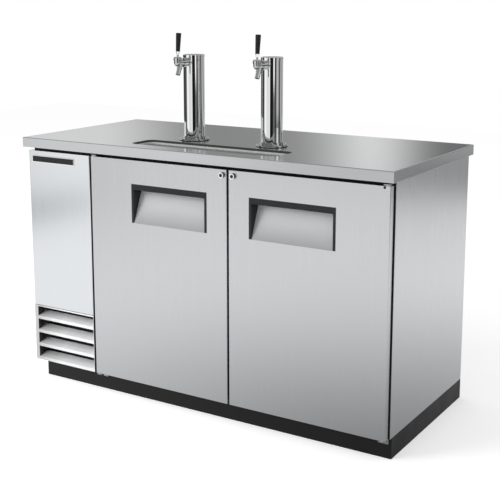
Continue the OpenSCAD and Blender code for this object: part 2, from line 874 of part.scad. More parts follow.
// Grille: an outer stile, an inner cheek, an upper rail and slats that reach into the compartment
module louvre_grille() {
  pitch = grille_h / slat_n;
  x0 = -cab_x + stile_w;
  x1 = part_x0 - sheet_t;
  color(steel) {
    block([-cab_x, door_y0, door_z0], [x0, cab_y0, grille_z1]);
    block([x1, door_y0, door_z0], [part_x0, cab_y0, grille_z1]);
    block([x0, door_y0, grille_z1 - rail_h], [x1, door_y0 + sheet_t, grille_z1]);
    for (i = [0 : slat_n - 1]) translate([0, door_y0, door_z0 + i * pitch]) along_x(x0, x1) slat_outline();
  }
}

// Worktop and drip tray

// Worktop slab with its four upper edges rounded
module top_slab() {
  h = top_z - cab_z1;
  x = top_w / 2;
  y = top_d / 2;
  intersection() {
    along_y(-y, y) translate([x, top_z]) rotate(180) front_rounded([top_w, h], edge_r);
    along_x(-x, x) translate([y, top_z]) rotate(180) front_rounded([top_d, h], edge_r);
  }
}

module worktop() {
  inner = [top_w / 2 - sheet_t, top_d / 2 - sheet_t];
  color(steel) difference() {
    top_slab();
    block([-inner.x, -inner.y, cab_z1 - over], [inner.x, inner.y, top_z - sheet_t]);
    at_towers() post([0, 0], cab_z1, top_z + over, passage_d / 2);
    at_towers() flange_holes(top_z - sheet_t - over, top_z + over);
    pan_outer();
  }
}

module worktop_core() {
  half = [top_w / 2 - sheet_t, top_d / 2 - sheet_t];
  color(foam) difference() {
    block([-half.x, -half.y, cab_z1], [half.x, half.y, top_z - sheet_t]);
    top_passages(cab_z1 - over, top_z + over);
    at_towers() flange_holes(top_z - screw_l, top_z + over);
  }
}

// Outer form of the drip pan, from the rim down
module pan_outer() {
  h = ledge_z - sump_z + pan_t;
  translate([0, drip_y, 0]) {
    hull() {
      translate([0, 0, top_z - slice]) linear_extrude(slice) rounded_rect(rim_size, drip_r, $fn = 32);
      translate([0, 0, ledge_z]) linear_extrude(slice) rounded_rect(ledge_size, ledge_r, $fn = 32);
    }
    translate([0, 0, sump_z - pan_t]) linear_extrude(h) rounded_rect(ledge_size, ledge_r);
  }
}

// Hollow of the drip pan: drafted walls above the ledge, straight sump below
module pan_inner() {
  translate([0, drip_y, 0]) {
    hull() {
      translate([0, 0, top_z]) linear_extrude(over) rounded_rect(rim_in, drip_r - pan_t, $fn = 32);
      translate([0, 0, ledge_z]) linear_extrude(slice) rounded_rect(ledge_in, ledge_r - pan_t, $fn = 32);
    }
    translate([0, 0, sump_z]) linear_extrude(ledge_z - sump_z + over) rounded_rect(sump_size, sump_r);
  }
}

module drip_pan() {
  color(steel) difference() {
    pan_outer();
    pan_inner();
    post([0, drip_y], sump_z - pan_t - over, sump_z + over, spud_tail_r - spud_t);
  }
}

// Drain spud: a sleeve through the ceiling and a slimmer hose tail under it
module drain_spud() {
  z1 = sump_z - pan_t;
  shoulder_z = in_z1 - spud_drop;
  z0 = shoulder_z - spud_tail_l;
  color(chrome) difference() {
    union() {
      post([0, drip_y], shoulder_z, z1, spud_r);
      post([0, drip_y], z0, shoulder_z, spud_tail_r);
    }
    post([0, drip_y], z0 - over, z1 + over, spud_tail_r - spud_t);
  }
}

// One drip grate: a round-cornered plate with rows of slots
module drip_grate(side) {
  size = grate_size;
  r = ledge_r - pan_t - grate_clear;
  field = size - 2 * grate_edge * [1, 1];
  pitch = [field.x / slot_cols, field.y / slot_rows];
  slot = [slot_w, pitch.y - slot_web];
  at = [side * (size.x + grate_clear) / 2, drip_y, ledge_z];
  translate(at) linear_extrude(grate_t) difference() {
    intersection() {
      square(size, center = true);
      translate([-side * r, 0]) rounded_rect(size + [2 * r, 0], r);
    }
    for (i = [0 : slot_cols - 1], j = [0 : slot_rows - 1]) {
      translate([(i - (slot_cols - 1) / 2) * pitch.x, (j - (slot_rows - 1) / 2) * pitch.y]) {
        slot_outline(slot);
      }
    }
  }
}

module drip_grate_left() {
  color(steel) drip_grate(-1);
}

module drip_grate_right() {
  color(steel) drip_grate(1);
}

// Towers

// Screw holes of one tower, through the flange and what lies under it
module flange_holes(z0, z1) {
  for (i = [0 : screw_n - 1]) rotate((i + 0.5) * 360 / screw_n) post([screw_ring_r, 0], z0, z1, screw_r);
}

module tower_gaskets() {
  color("#151515") at_towers() difference() {
    post([0, 0], top_z, flange_z, flange_d / 2);
    post([0, 0], top_z - over, flange_z + over, passage_d / 2);
    flange_holes(top_z - over, flange_z + over);
  }
}

module tower_flanges() {
  color(chrome) at_towers() difference() {
    union() {
      post([0, 0], flange_z, column_z, flange_d / 2);
      post([0, 0], column_z, column_z + collar_h, column_r + collar_t);
    }
    post([0, 0], flange_z - over, column_z + over, passage_d / 2);
    post([0, 0], column_z, column_z + collar_h + over, column_r);
    flange_holes(flange_z - over, column_z + over);
  }
}

module flange_screws() {
  dome_r = 1.5 * head_r;
  color(chrome) at_towers() for (i = [0 : screw_n - 1]) rotate((i + 0.5) * 360 / screw_n) {
    post([screw_ring_r, 0], top_z - screw_l, column_z, screw_r);
    translate([screw_ring_r, 0, column_z]) intersection() {
      cylinder(h = head_r, r = head_r);
      translate([0, 0, -head_r]) sphere(dome_r);
    }
  }
}

module tower_columns() {
  color(chrome) at_towers() difference() {
    post([0, 0], column_z, tower_z - cap_t, column_r);
    post([0, 0], column_z - over, tower_z, column_in_r);
    bore_y(0, shank_z, -column_d, 0, shank_r);
  }
}

module tower_caps() {
  r = column_r + skirt_t;
  color(chrome) at_towers() rotate_extrude() difference() {
    union() {
      translate([0, tower_z - cap_h]) square([r, cap_h - cap_r]);
      translate([0, tower_z - cap_r - over]) square([r - cap_r, cap_r + over]);
      translate([r - cap_r, tower_z - cap_r]) circle(cap_r);
    }
    translate([0, tower_z - cap_h - over]) square([column_r, cap_h - cap_t + over]);
  }
}

module tower_foam() {
  z1 = shank_z - saddle_r;
  color(foam) at_towers() difference() {
    post([0, 0], column_z, z1, column_in_r);
    post([0, 0], column_z - over, z1 + over, column_in_r - foam_t);
  }
}

// Taps

module shanks() {
  front = tap_reach - body_l;
  tube_head = 2 * tube_r;
  color(chrome) at_towers() difference() {
    union() {
      bore_y(0, shank_z, -front, -tube_head, shank_r);
      difference() {
        bore_y(0, shank_z, -column_r - saddle_l, -column_r / 2, saddle_r);
        post([0, 0], column_z, tower_z, column_r);
      }
    }
    bore_y(0, shank_z, -front - over, -front + socket_l, socket_r);
    bore_y(0, shank_z, -front, 0, tube_r - tube_t);
  }
}

// Hexagon nut on each shank, shaped to the inside of the column
module shank_nuts() {
  color(copper) at_towers() difference() {
    intersection() {
      translate([0, -column_r / 2, shank_z]) rotate([90, 0, 0]) cylinder(h = column_r, r = hex_r, $fn = 6);
      post([0, 0], column_z, tower_z, column_in_r);
    }
    bore_y(0, shank_z, -column_d, 0, shank_r);
  }
}

// Coupling nut around Y: a ring with a groove and a row of spanner holes
module coupling_nut() {
  groove_w = nut_l / 6;
  rotate([90, 0, 0]) difference() {
    translate([0, 0, -nut_l / 2]) rotate_extrude() difference() {
      square([nut_r, nut_l]);
      translate([nut_r - spanner_d / 2, nut_l / 4]) square([spanner_d, groove_w]);
    }
    cylinder(h = 2 * nut_l, r = shank_r, center = true);
    for (i = [0 : spanner_n - 1]) rotate(i * 360 / spanner_n) translate([nut_r - spanner_d, 0, nut_l / 6]) {
      rotate([0, 90, 0]) cylinder(h = spanner_d + over, r = spanner_r);
    }
  }
}

module coupling_nuts() {
  color(chrome) for (side = [-1, 1]) at_tap(side) translate([0, body_l, shank_z]) coupling_nut();
}

// Room that the lever's finger sweeps under its ball
module finger_room() {
  room = tip_r + ball_clear;
  pulled_y = pivot_h * sin(lever_travel - lever_lean);
  block([-room, tip_y - room, shank_z], [room, pulled_y + room, pivot_z - ball_r / 2]);
}

// Tap body: a barrel with the plunger's guide and the valve seat, a boss under the bonnet, a slanted spout
module faucet_body() {
  guide_r = plunger_r + run_clear;
  guide_end = plunger_back + 2 * over;
  root = [0, spout_back, shank_z - root_drop];
  mouth = [0, 0, shank_z - spout_drop];
  down = (mouth - root) / norm(mouth - root);
  difference() {
    union() {
      bore_y(0, shank_z, 0, body_l, shank_r);
      translate([0, 0, shank_z]) sphere(boss_r);
      post([0, 0], shank_z, bonnet_z, boss_r);
      bar(root, mouth, spout_r);
      bar(root + ring_at * down, root + (ring_at + ring_w) * down, spout_r + ring_h);
    }
    post([0, 0], bonnet_z, pivot_z + ball_r, 2 * boss_r);
    bore_y(0, shank_z, -plunger_front - over, guide_end, guide_r);
    bore_y(0, shank_z, guide_end - over, seat_l - seat_wall, disc_r);
    bore_y(0, shank_z, guide_end - over, seat_l + over, seat_r);
    bore_y(0, shank_z, seat_l, body_l + over, socket_r);
    translate([0, 0, pivot_z]) sphere(ball_r + ball_clear);
    finger_room();
    bar(root, mouth + spout_r * down, spout_bore_r);
  }
}

module faucet_bodies() {
  color(chrome) for (side = [-1, 1]) at_tap(side) faucet_body();
}

module faucet_bonnets() {
  h = bonnet_h + bonnet_sink;
  flare = lever_travel - lever_lean;
  bore_r = neck_r / cos(flare) + neck_clear;
  color(chrome) for (side = [-1, 1]) at_tap(side) difference() {
    translate([0, 0, bonnet_z]) rotate_extrude() {
      square([bonnet_r, h - bonnet_round]);
      square([bonnet_r - bonnet_round, h]);
      translate([bonnet_r - bonnet_round, h - bonnet_round]) circle(bonnet_round);
    }
    translate([0, 0, pivot_z]) {
      sphere(ball_r + ball_clear);
      cylinder(h = bonnet_h + over, r1 = bore_r, r2 = bore_r + (bonnet_h + over) * tan(flare));
    }
    finger_room();
  }
}

// Frame of one lever: the origin is the pivot, and Z runs up along the leaning lever
module at_lever(side) {
  at_tap(side) translate([0, 0, pivot_z]) rotate([-lever_lean, 0, 0]) children();
}

module tap_lever(side) {
  stud_z = ferrule_z + ferrule_l;
  at_lever(side) {
    sphere(ball_r);
    cylinder(h = ferrule_z + over, r = neck_r);
    translate([0, 0, ferrule_z]) cylinder(h = ferrule_l, r1 = ferrule_r, r2 = handle_foot_r);
    translate([0, 0, stud_z - over]) cylinder(h = stud_l + over, r = stud_r);
    translate([0, 0, -pivot_h]) cylinder(h = pivot_h, r = finger_r);
    translate([0, 0, -pivot_h]) sphere(tip_r);
  }
}

module tap_lever_left() {
  color(chrome) tap_lever(-1);
}

module tap_lever_right() {
  color(chrome) tap_lever(1);
}

// Tap handle: a taper that widens upward, with a round crown and a socket for the stud
module tap_handle(side) {
  shoulder = handle_l - crown_r;
  flat_r = handle_top_r - crown_r;
  at_lever(side) translate([0, 0, ferrule_z + ferrule_l]) difference() {
    rotate_extrude() {
      polygon([[0, 0], [handle_foot_r, 0], [handle_top_r, shoulder], [flat_r, shoulder], [flat_r, handle_l],
        [0, handle_l]]);
      intersection() {
        translate([flat_r, shoulder]) circle(crown_r);
        translate([0, shoulder]) square(handle_top_r);
      }
    }
    translate([0, 0, -over]) cylinder(h = stud_l + over, r = stud_r);
  }
}

module tap_handle_left() {
  color(dark) tap_handle(-1);
}

module tap_handle_right() {
  color(dark) tap_handle(1);
}

// Tap plunger: a guide with a flat under the lever's ball and a slot for its tip, a stem and the valve disc
module tap_plunger(side) {
  slot_half = tip_r + tip_clear;
  slot_z = shank_z - tip_r - tip_clear / 2;
  flat_z = shank_z + plunger_flat;
  at_tap(side) difference() {
    union() {
      bore_y(0, shank_z, -plunger_front, plunger_back, plunger_r);
      bore_y(0, shank_z, plunger_back - over, disc_y + disc_t, stem_r);
      bore_y(0, shank_z, disc_y, disc_y + disc_t, disc_r);
    }
    block([-plunger_r, -plunger_front - over, flat_z], [plunger_r, plunger_back + over, pivot_z]);
    block([-plunger_r - over, tip_y - slot_half, slot_z], [plunger_r + over, tip_y + slot_half, pivot_z]);
  }
}

module tap_plunger_left() {
  color(chrome) tap_plunger(-1);
}

module tap_plunger_right() {
  color(chrome) tap_plunger(1);
}

module beer_tubes() {
  end_z = in_z1 - tube_drop;
  color("#d9dde0") at_towers() {
    post([0, 0], end_z, shank_z, tube_r);
    post([0, 0], shank_z - shank_r, shank_z + shank_r, 2 * tube_r);
    post([0, 0], end_z, end_z + tube_nut_l, 2 * tube_r);
    post([0, 0], end_z - tail_l, end_z + over, tail_r);
  }
}

// Doors

// Finger pocket outline in YZ: the ramp's back line, the roof and the door's face
module pocket_outline(front) {
  polygon([[front, grip_z0], [front, grip_z1], [door_y0 + skin_t + ramp_d, grip_z1],
    [door_y0 + skin_t + ramp_d, ramp_z1], [door_y0 + skin_t, grip_z0]]);
}

module hinge_axis(z0, z1, r) {
  post([hinge_in, hinge_y], z0, z1, r);
}

module door_skin() {
  outer = [door_w, door_t];
  difference() {
    translate([0, door_y0, door_z0]) linear_extrude(door_z1 - door_z0) front_rounded(outer, door_r);
    block([skin_t, door_y0 + skin_t, door_z0 + skin_t], [door_w - skin_t, door_y1 + over, door_z1 - skin_t]);
    block([grip_x0, door_y0 - over, grip_z0], [grip_x1, door_y0 + skin_t + over, grip_z1]);
    bore_y(lock_x, lock_z, door_y0 - over, door_y1, barrel_r);
    hinge_axis(door_z0 - over, door_z1 + over, bush_r + run_clear);
  }
  along_x(grip_x0 + cheek_t, grip_x1 - cheek_t) {
    polygon([[door_y0, grip_z0], [door_y0 + ramp_d, ramp_z1], [door_y0 + ramp_d + skin_t, ramp_z1],
      [door_y0 + skin_t, grip_z0]]);
  }
}

module door_skin_left() {
  color(steel) at_door(-1) door_skin();
}

module door_skin_right() {
  color(steel) at_door(1) door_skin();
}

module door_liner() {
  plug = [door_w - 2 * plug_in, door_z1 - door_z0 - 2 * plug_in];
  difference() {
    union() {
      block([skin_t, door_y0 + skin_t, door_z0 + skin_t], [door_w - skin_t, door_y1, door_z1 - skin_t]);
      translate([door_w / 2, 0, (door_z0 + door_z1) / 2]) along_y(door_y1 - over, door_y1 + plug_d) {
        rounded_rect(plug, plug_r);
      }
    }
    along_x(grip_x0, grip_x1) pocket_outline(door_y0 + skin_t);
    bore_y(lock_x, lock_z, door_y0, door_y1 + over, barrel_r);
    hinge_axis(door_z0, door_z0 + bush_l + part_gap, bush_r + run_clear);
    hinge_axis(door_z1 - bush_l - part_gap, door_z1, bush_r + run_clear);
  }
}

module door_liner_left() {
  color("#e6e7e8") at_door(-1) door_liner();
}

module door_liner_right() {
  color("#e6e7e8") at_door(1) door_liner();
}

// Gasket: a wide foot on the door and a narrower magnet bulb towards the frame
module door_gasket() {
  size = [door_w - 2 * gasket_in, door_z1 - door_z0 - 2 * gasket_in];
  foot_t = gasket_t / 2;
  translate([door_w / 2, 0, (door_z0 + door_z1) / 2]) {
    along_y(door_y1, door_y1 + foot_t) difference() {
      square(size, center = true);
      square(size - 2 * gasket_w * [1, 1], center = true);
    }
    along_y(door_y1 + foot_t, cab_y0 - part_gap) difference() {
      square(size - 2 * bulb_in * [1, 1], center = true);
      square(size - 2 * (gasket_w - bulb_in) * [1, 1], center = true);
    }
  }
}

module door_gasket_left() {
  color("#1a1a1b") at_door(-1) door_gasket();
}

module door_gasket_right() {
  color("#1a1a1b") at_door(1) door_gasket();
}

// Handle moulding: two cheeks, and a profile of pull lip, roof and back wall between them
module door_handle() {
  back = door_y0 + ramp_d;
  roof_z = grip_z1 - pocket_t;
  lip_y = door_y0 + lip_t;
  lip_z = grip_z1 - lip_h;
  for (x = [grip_x0, grip_x1 - cheek_t]) along_x(x, x + cheek_t) pocket_outline(door_y0);
  along_x(grip_x0, grip_x1) polygon([[door_y0, lip_z], [door_y0, grip_z1], [back + skin_t, grip_z1],
    [back + skin_t, ramp_z1], [back - pocket_t, ramp_z1], [back - pocket_t, roof_z], [lip_y, roof_z],
    [lip_y, lip_z]]);
}

module door_handle_left() {
  color(dark) at_door(-1) door_handle();
}

module door_handle_right() {
  color(dark) at_door(1) door_handle();
}

module lock_barrel() {
  difference() {
    union() {
      bore_y(lock_x, lock_z, door_y0 - bezel_h, door_y0, bezel_r);
      bore_y(lock_x, lock_z, door_y0 - over, door_y1, barrel_r);
    }
    bore_y(lock_x, lock_z, door_y0 - bezel_h - over, door_y1 + over, lock_r + run_clear);
  }
}

module lock_barrel_left() {
  color(chrome) at_door(-1) lock_barrel();
}

module lock_barrel_right() {
  color(chrome) at_door(1) lock_barrel();
}

// Lock plug: a face with the key slot, a shaft and the cam that turns behind the keeper's face
module lock_plug() {
  face = door_y0 - bezel_h - part_gap;
  cam_y = cab_y0 + keeper_t + cam_gap;
  difference() {
    union() {
      bore_y(lock_x, lock_z, face, door_y1, lock_r);
      bore_y(lock_x, lock_z, door_y1 - over, cam_y + cam_t, cam_w / 2);
      translate([lock_x, cam_y + cam_t / 2, lock_z]) cube([cam_w, cam_t, cam_l], center = true);
    }
    translate([lock_x, face, lock_z]) cube([key_w, 2 * key_d, key_h], center = true);
  }
}

module lock_plug_left() {
  color(chrome) at_door(-1) lock_plug();
}

module lock_plug_right() {
  color(chrome) at_door(1) lock_plug();
}

// Flanged bushes pressed on the hinge pins: the door turns on them
module door_bushes() {
  rim_t = foot_gap - part_gap;
  low = door_z0 - foot_gap;
  high = door_z1 + foot_gap;
  difference() {
    union() {
      hinge_axis(low, door_z0 + bush_l, bush_r);
      hinge_axis(low, low + rim_t, rim_r);
      hinge_axis(door_z1 - bush_l, high, bush_r);
      hinge_axis(high - rim_t, high, rim_r);
    }
    hinge_axis(low - over, high + over, pin_r);
  }
}

module hinge_bushes() {
  color("#efece2") for (side = [-1, 1]) at_door(side) door_bushes();
}

// Upper and lower hinge brackets of one door, each an angle with its pin
module door_brackets() {
  x0 = hinge_in - bracket_out;
  x1 = x0 + bracket_w;
  low = door_z0 - foot_gap;
  high = door_z1 + foot_gap;
  pin_l = bush_l - 1;
  front = hinge_y - rim_r;
  block([x0, front, low - bracket_t], [x1, base_y0, low]);
  block([x0, base_y0 - bracket_t, low - bracket_leg], [x1, base_y0, low]);
  hinge_axis(low - over, door_z0 + pin_l, pin_r);
  block([x0, front, high], [x1, cab_y0, high + bracket_t]);
  block([x0, cab_y0 - bracket_t, high], [x1, cab_y0, cab_z1]);
  hinge_axis(door_z1 - pin_l, high + over, pin_r);
}

module hinge_brackets() {
  color("#8d9194") for (side = [-1, 1]) at_door(side) door_brackets();
}

// Cooling system

// Finned coil: a block with grooves between its fins, open towards +Y and -Y
module finned_block(size) {
  pitch = size.x / (fin_n + 1);
  groove = size.y / 4;
  difference() {
    cube(size);
    for (i = [1 : fin_n], y = [-over, size.y - groove]) {
      translate([i * pitch - pitch / 4, y, coil_end]) cube([pitch / 2, groove + over, size.z - 2 * coil_end]);
    }
  }
}

// Fan rotor around Z: pitched blades on a hub with a shaft bore
module fan_rotor() {
  difference() {
    union() {
      cylinder(h = rotor_w, r = hub_r, center = true);
      for (i = [0 : blade_n - 1]) rotate(i * 360 / blade_n) intersection() {
        cylinder(h = rotor_w, r = rotor_r, center = true);
        rotate([blade_pitch, 0, 0]) translate([hub_r / 2, -blade_chord / 2, -blade_t / 2]) {
          cube([rotor_r, blade_chord, blade_t]);
        }
      }
    }
    cylinder(h = 2 * rotor_w, r = shaft_r + run_clear, center = true);
  }
}

// Fan motor on four posts: Z = 0 is the plate that the posts stand on
module fan_motor() {
  arm_z = motor_gap + 2 * arm_bar_r;
  translate([0, 0, motor_gap]) cylinder(h = motor_l, r = motor_r);
  translate([0, 0, rotor_gap - over]) cylinder(h = motor_gap, r = shaft_r);
  for (a = [45 : 90 : 315]) rotate(a) {
    translate([arm_r, 0, 0]) cylinder(h = arm_z + post_r, r = post_r);
    translate([0, 0, arm_z]) rotate([0, 90, 0]) cylinder(h = arm_r, r = arm_bar_r);
  }
}

module at_condenser_fan() {
  translate(cond_fan) rotate([-90, 0, 0]) children();
}

module at_evaporator_fan() {
  translate(evap_fan) rotate([0, -90, 0]) children();
}

module condenser_coil() {
  size = [cond_x1 - cond_x0, cond_t, cond_z1 - tray_z];
  color("#9a9c9d") translate([cond_x0, cond_y0, tray_z]) finned_block(size);
}

module condenser_fan_shroud() {
  low = [cond_x0, cond_y1, tray_z];
  high = [cond_x1, cond_fan.y, cond_z1];
  color(dark) difference() {
    block(low, high);
    block(low + [sheet_t, -over, sheet_t], high - sheet_t * [1, 1, 1]);
    bore_y(cond_fan.x, cond_fan.z, cond_y1, cond_fan.y + over, duct_r);
  }
}

module condenser_fan_motor() {
  color(dark) at_condenser_fan() fan_motor();
}

module condenser_fan_blade() {
  color("#b9bcbe") at_condenser_fan() translate([0, 0, rotor_gap + rotor_w / 2]) fan_rotor();
}

module evaporator_fan_motor() {
  color(dark) at_evaporator_fan() fan_motor();
}

module evaporator_fan_blade() {
  color("#b9bcbe") at_evaporator_fan() translate([0, 0, rotor_gap + rotor_w / 2]) fan_rotor();
}

module evaporator_coil() {
  size = [evap_w - 2 * coil_in, evap_coil_t, evap_h - 2 * coil_in];
  color("#9a9c9d") translate([in_x0, evap_y1 - coil_in, evap_z0 + coil_in]) rotate(-90) finned_block(size);
}

// Fan guard around Z: rings on two crossed spokes
module fan_guard() {
  for (i = [1 : guard_n]) rotate_extrude() {
    translate([duct_r * i / guard_n - guard_w, 0]) square([guard_w + (i == guard_n ? over : 0), sheet_t]);
  }
  for (a = [0, 90]) rotate(a) translate([-duct_r, -guard_w / 2, 0]) cube([2 * duct_r, guard_w, sheet_t]);
}

module evaporator_cover() {
  low = [in_x0, evap_y0, evap_z0];
  high = [evap_x1, evap_y1, evap_z1];
  return_x = in_x0 + return_in;
  color("#dfe1e2") {
    difference() {
      block(low, high);
      block(low + [-over, sheet_t, sheet_t], high - sheet_t * [1, 1, 1]);
      bore_x(evap_fan.y, evap_fan.z, evap_fan.x - over, evap_x1 + over, duct_r);
      for (i = [1 : return_n]) translate([return_x, evap_y0 + evap_w * i / (return_n + 1), evap_z0]) {
        translate([0, -return_w / 2, -over]) cube([return_l, return_w, sheet_t + 2 * over]);
      }
      bore_x(dial_at.y, dial_at.z, evap_fan.x - over, evap_x1 + over, shaft_r + run_clear);
    }
    translate(evap_fan) rotate([0, 90, 0]) fan_guard();
  }
}

// Temperature dial: a fluted knob with a pointer groove, on a shaft through the cover
module temperature_dial() {
  pointer_w = flute_r / 2;
  color(dark) translate(dial_at) rotate([0, 90, 0]) {
    translate([0, 0, -dial_shaft]) cylinder(h = dial_shaft + over, r = shaft_r);
    translate([0, 0, part_gap]) difference() {
      cylinder(h = dial_t, r = dial_r);
      for (i = [0 : flute_n - 1]) rotate(i * 360 / flute_n) {
        translate([dial_r + flute_r / 2, 0, flute_r]) cylinder(h = dial_t, r = flute_r);
      }
      translate([-pointer_w / 2, 0, dial_t - pointer_w]) cube([pointer_w, dial_r, pointer_w + over]);
    }
  }
}

// Compressor: a domed shell with its weld seam, four feet and two line stubs
module compressor() {
  foot_at = comp_r - comp_foot_in;
  color("#1d1e20") {
    translate([comp_at.x, comp_at.y, tray_z + comp_foot]) {
      rotate_extrude() {
        square([comp_r, comp_h - comp_dome]);
        square([comp_r - comp_dome, comp_h]);
        translate([comp_r - comp_dome, comp_h - comp_dome]) circle(comp_dome);
        translate([0, comp_waist - comp_seam]) square([comp_r + comp_seam, 2 * comp_seam]);
      }
      for (x = [-1, 1], y = [-1, 1]) translate([x * foot_at, y * foot_at, -comp_foot]) {
        cylinder(h = comp_foot + over, r = comp_foot_r);
      }
    }
    bore_x(line_y, inlet_z, comp_at.x, comp_at.x + comp_r + stub_l, suction_r + stub_t);
    post(comp_at, comp_top - over, comp_top + stub_l, liquid_r + stub_t);
  }
}

// Refrigerant lines: suction from the evaporator, liquid line with its drier, discharge to the condenser
module refrigerant_lines() {
  riser_x = part_x0 - riser_in;
  coil_y = (cond_y0 + cond_y1) / 2;
  high_z = comp_top + discharge_h;
  drier_z = (liquid_z + cond_z1) / 2;
  liquid_x = comp_at.x + liquid_off;
  color(copper) {
    pipe([[in_x0, line_y, suction_z], [riser_x, line_y, suction_z], [riser_x, line_y, inlet_z],
      [comp_at.x + comp_r + stub_l, line_y, inlet_z]], suction_r);
    pipe([[in_x0, line_y, liquid_z], [liquid_x, line_y, liquid_z], [liquid_x, coil_y, liquid_z],
      [liquid_x, coil_y, cond_z1]], liquid_r);
    bar([liquid_x, coil_y, drier_z - drier_l / 2], [liquid_x, coil_y, drier_z + drier_l / 2], drier_r);
    pipe([[comp_at.x, line_y, comp_top + stub_l], [comp_at.x, line_y, high_z], [comp_at.x, coil_y, high_z],
      [comp_at.x, coil_y, cond_z1]], liquid_r);
  }
}

module gas_line_bush() {
  y0 = in_y1 - gas_t;
  y1 = cab_y1 + gas_t;
  color(dark) difference() {
    union() {
      bore_y(gas_at.x, gas_at.y, y0, y1, gas_r + gas_t);
      bore_y(gas_at.x, gas_at.y, y0, in_y1, gas_r + 2 * gas_t);
      bore_y(gas_at.x, gas_at.y, cab_y1, y1, gas_r + 2 * gas_t);
    }
    bore_y(gas_at.x, gas_at.y, y0 - over, y1 + over, gas_r);
  }
}

base_frame();
right_side_panel();
left_side_panel();
back_panel();
cabinet_insulation();
inner_liner();
frame_strips();
centre_mullion();
machine_front_panel();
louvre_grille();
compressor();
condenser_coil();
condenser_fan_shroud();
condenser_fan_motor();
condenser_fan_blade();
refrigerant_lines();
evaporator_cover();
evaporator_coil();
evaporator_fan_motor();
evaporator_fan_blade();
temperature_dial();
worktop();
worktop_core();
drip_pan();
drain_spud();
drip_grate_left();
drip_grate_right();
gas_line_bush();
hinge_brackets();
tower_gaskets();
tower_flanges();
flange_screws();
tower_columns();
tower_caps();
tower_foam();
beer_tubes();
shanks();
shank_nuts();
coupling_nuts();
faucet_bodies();
faucet_bonnets();
tap_lever_left();
tap_lever_right();
tap_handle_left();
tap_handle_right();
tap_plunger_left();
tap_plunger_right();
door_skin_left();
door_skin_right();
door_liner_left();
door_liner_right();
door_gasket_left();
door_gasket_right();
door_handle_left();
door_handle_right();
lock_barrel_left();
lock_barrel_right();
lock_plug_left();
lock_plug_right();
hinge_bushes();
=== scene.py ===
"""Looks of a two-tap direct draw beer dispenser: finishes, small trim and a plain studio."""
import json
import math

import bpy
import numpy as np
from bpy.props import FloatProperty, FloatVectorProperty, IntProperty, PointerProperty
from bpy.types import NodeSocket, Operator, Panel, PropertyGroup
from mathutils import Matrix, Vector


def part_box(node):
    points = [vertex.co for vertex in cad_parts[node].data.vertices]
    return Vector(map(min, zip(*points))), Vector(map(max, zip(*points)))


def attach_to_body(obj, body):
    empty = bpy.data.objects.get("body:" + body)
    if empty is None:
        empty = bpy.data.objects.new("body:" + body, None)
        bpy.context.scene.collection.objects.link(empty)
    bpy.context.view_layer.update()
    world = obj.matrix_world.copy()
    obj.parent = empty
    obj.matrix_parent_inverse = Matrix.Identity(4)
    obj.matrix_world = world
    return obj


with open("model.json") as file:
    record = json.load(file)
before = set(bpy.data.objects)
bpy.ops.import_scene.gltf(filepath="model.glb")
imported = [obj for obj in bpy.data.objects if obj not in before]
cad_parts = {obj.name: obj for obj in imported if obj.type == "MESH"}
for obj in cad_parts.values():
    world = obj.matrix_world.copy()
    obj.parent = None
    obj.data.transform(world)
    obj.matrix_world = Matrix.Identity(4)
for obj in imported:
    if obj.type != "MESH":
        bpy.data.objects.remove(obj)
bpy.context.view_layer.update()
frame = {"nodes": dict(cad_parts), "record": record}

bl_info = {
    "name": "Beer dispenser looks",
    "version": (1, 0, 0),
    "blender": (4, 5, 0),
    "location": "3D View > Sidebar > Dispenser",
    "description": "Finishes, small trim and studio of a direct draw beer dispenser",
    "category": "Object",
}

NODES = frame["nodes"]
SLOT_OF = {row["node"]: row["material_slot"] for row in frame["record"]["subparts"]}
SIDES = ("left", "right")
WHITE = (1, 1, 1, 1)

# Sizes of the CAD hinge brackets and of the grille's stile, in metres
BRACKET_THICK = 0.004
BRACKET_WIDTH = 0.020
STILE_WIDTH = 0.016

# Brushed sheet: noise scales across and along the brushing for scratches and streaks, the scale of slow
# clouds, the share of each in the mix, and the part of the mix that is spread over the whole tone
SCRATCHES = (900.0, 9.0)
STREAKS = (160.0, 1.6)
CLOUDS = 1.7
SHARES = (0.45, 0.35, 0.20)
MIX_RANGE = (0.35, 0.65)
BEVEL_SAMPLES = 6

# Upward lean of the normal at which a finger ramp is told from the door's upright face and level edges
LEAN = (0.15, 0.3)
LEVEL = (0.8, 0.6)

# Factors on the colour that paint light and shade: painted shade at a finger ramp's foot and painted light
# at its top, and painted shade at the grille's left end and cheeks, on the drip pan's rim and on the flanks
# of the lock barrels
RAMP_FOOT_PAINTED_SHADE = 0.5
RAMP_TOP_PAINTED_LIGHT = 2.4
GRILLE_END_SHADE = 0.58
GRILLE_CHEEK_SHADE = 0.06
PAN_RIM_SHADE = 0.09
BARREL_FLANK_SHADE = 0.11

# Where those factors set in: lengths in metres, and leans of the normal along an axis
GRILLE_END_SHADE_RUN = 0.12
PAN_RIM_SHADE_BLUR = 0.0005
CHEEK_SHADE_LEAN = (0.4, 0.8)
FLANK_SHADE_LEAN = (-0.7, -0.2)

# Bare plate: corner radius in metres and the least radius of an inner outline, chamfer and height of the
# sunk face as parts of the thickness, the face's outer ring as a part of the rim, and the bright bands
PLATE_CORNER = 0.002
LEAST_CORNER = 1e-4
PLATE_CHAMFER = 0.3
PLATE_FACE = 0.6
FACE_RING = 1.2
BRIGHT_BANDS = 3

# Screw heads: points round, tilts of the dome's circles in degrees, the upright edge's part of the height,
# the recess's mean radius and swing as parts of the radius, and its floor's part of its size and height
SCREW_POINTS = 32
DOME_TILTS = (0, 25, 50, 66)
SCREW_EDGE = 0.4
RECESS_RADIUS = 0.26
RECESS_SWING = 0.10
RECESS_FLOOR_SIZE = 0.9
RECESS_FLOOR_HEIGHT = 0.35

# Soft lamps: size and place in metres, and turn in degrees
KEY_LAMP = (2.6, (-2.2, -2.6, 3.6), (42, 0, -40))
FILL_LAMP = (2.0, (-2.4, -3.9, 2.2), (69, 0, -27))
SENSOR_WIDTH = 36.0

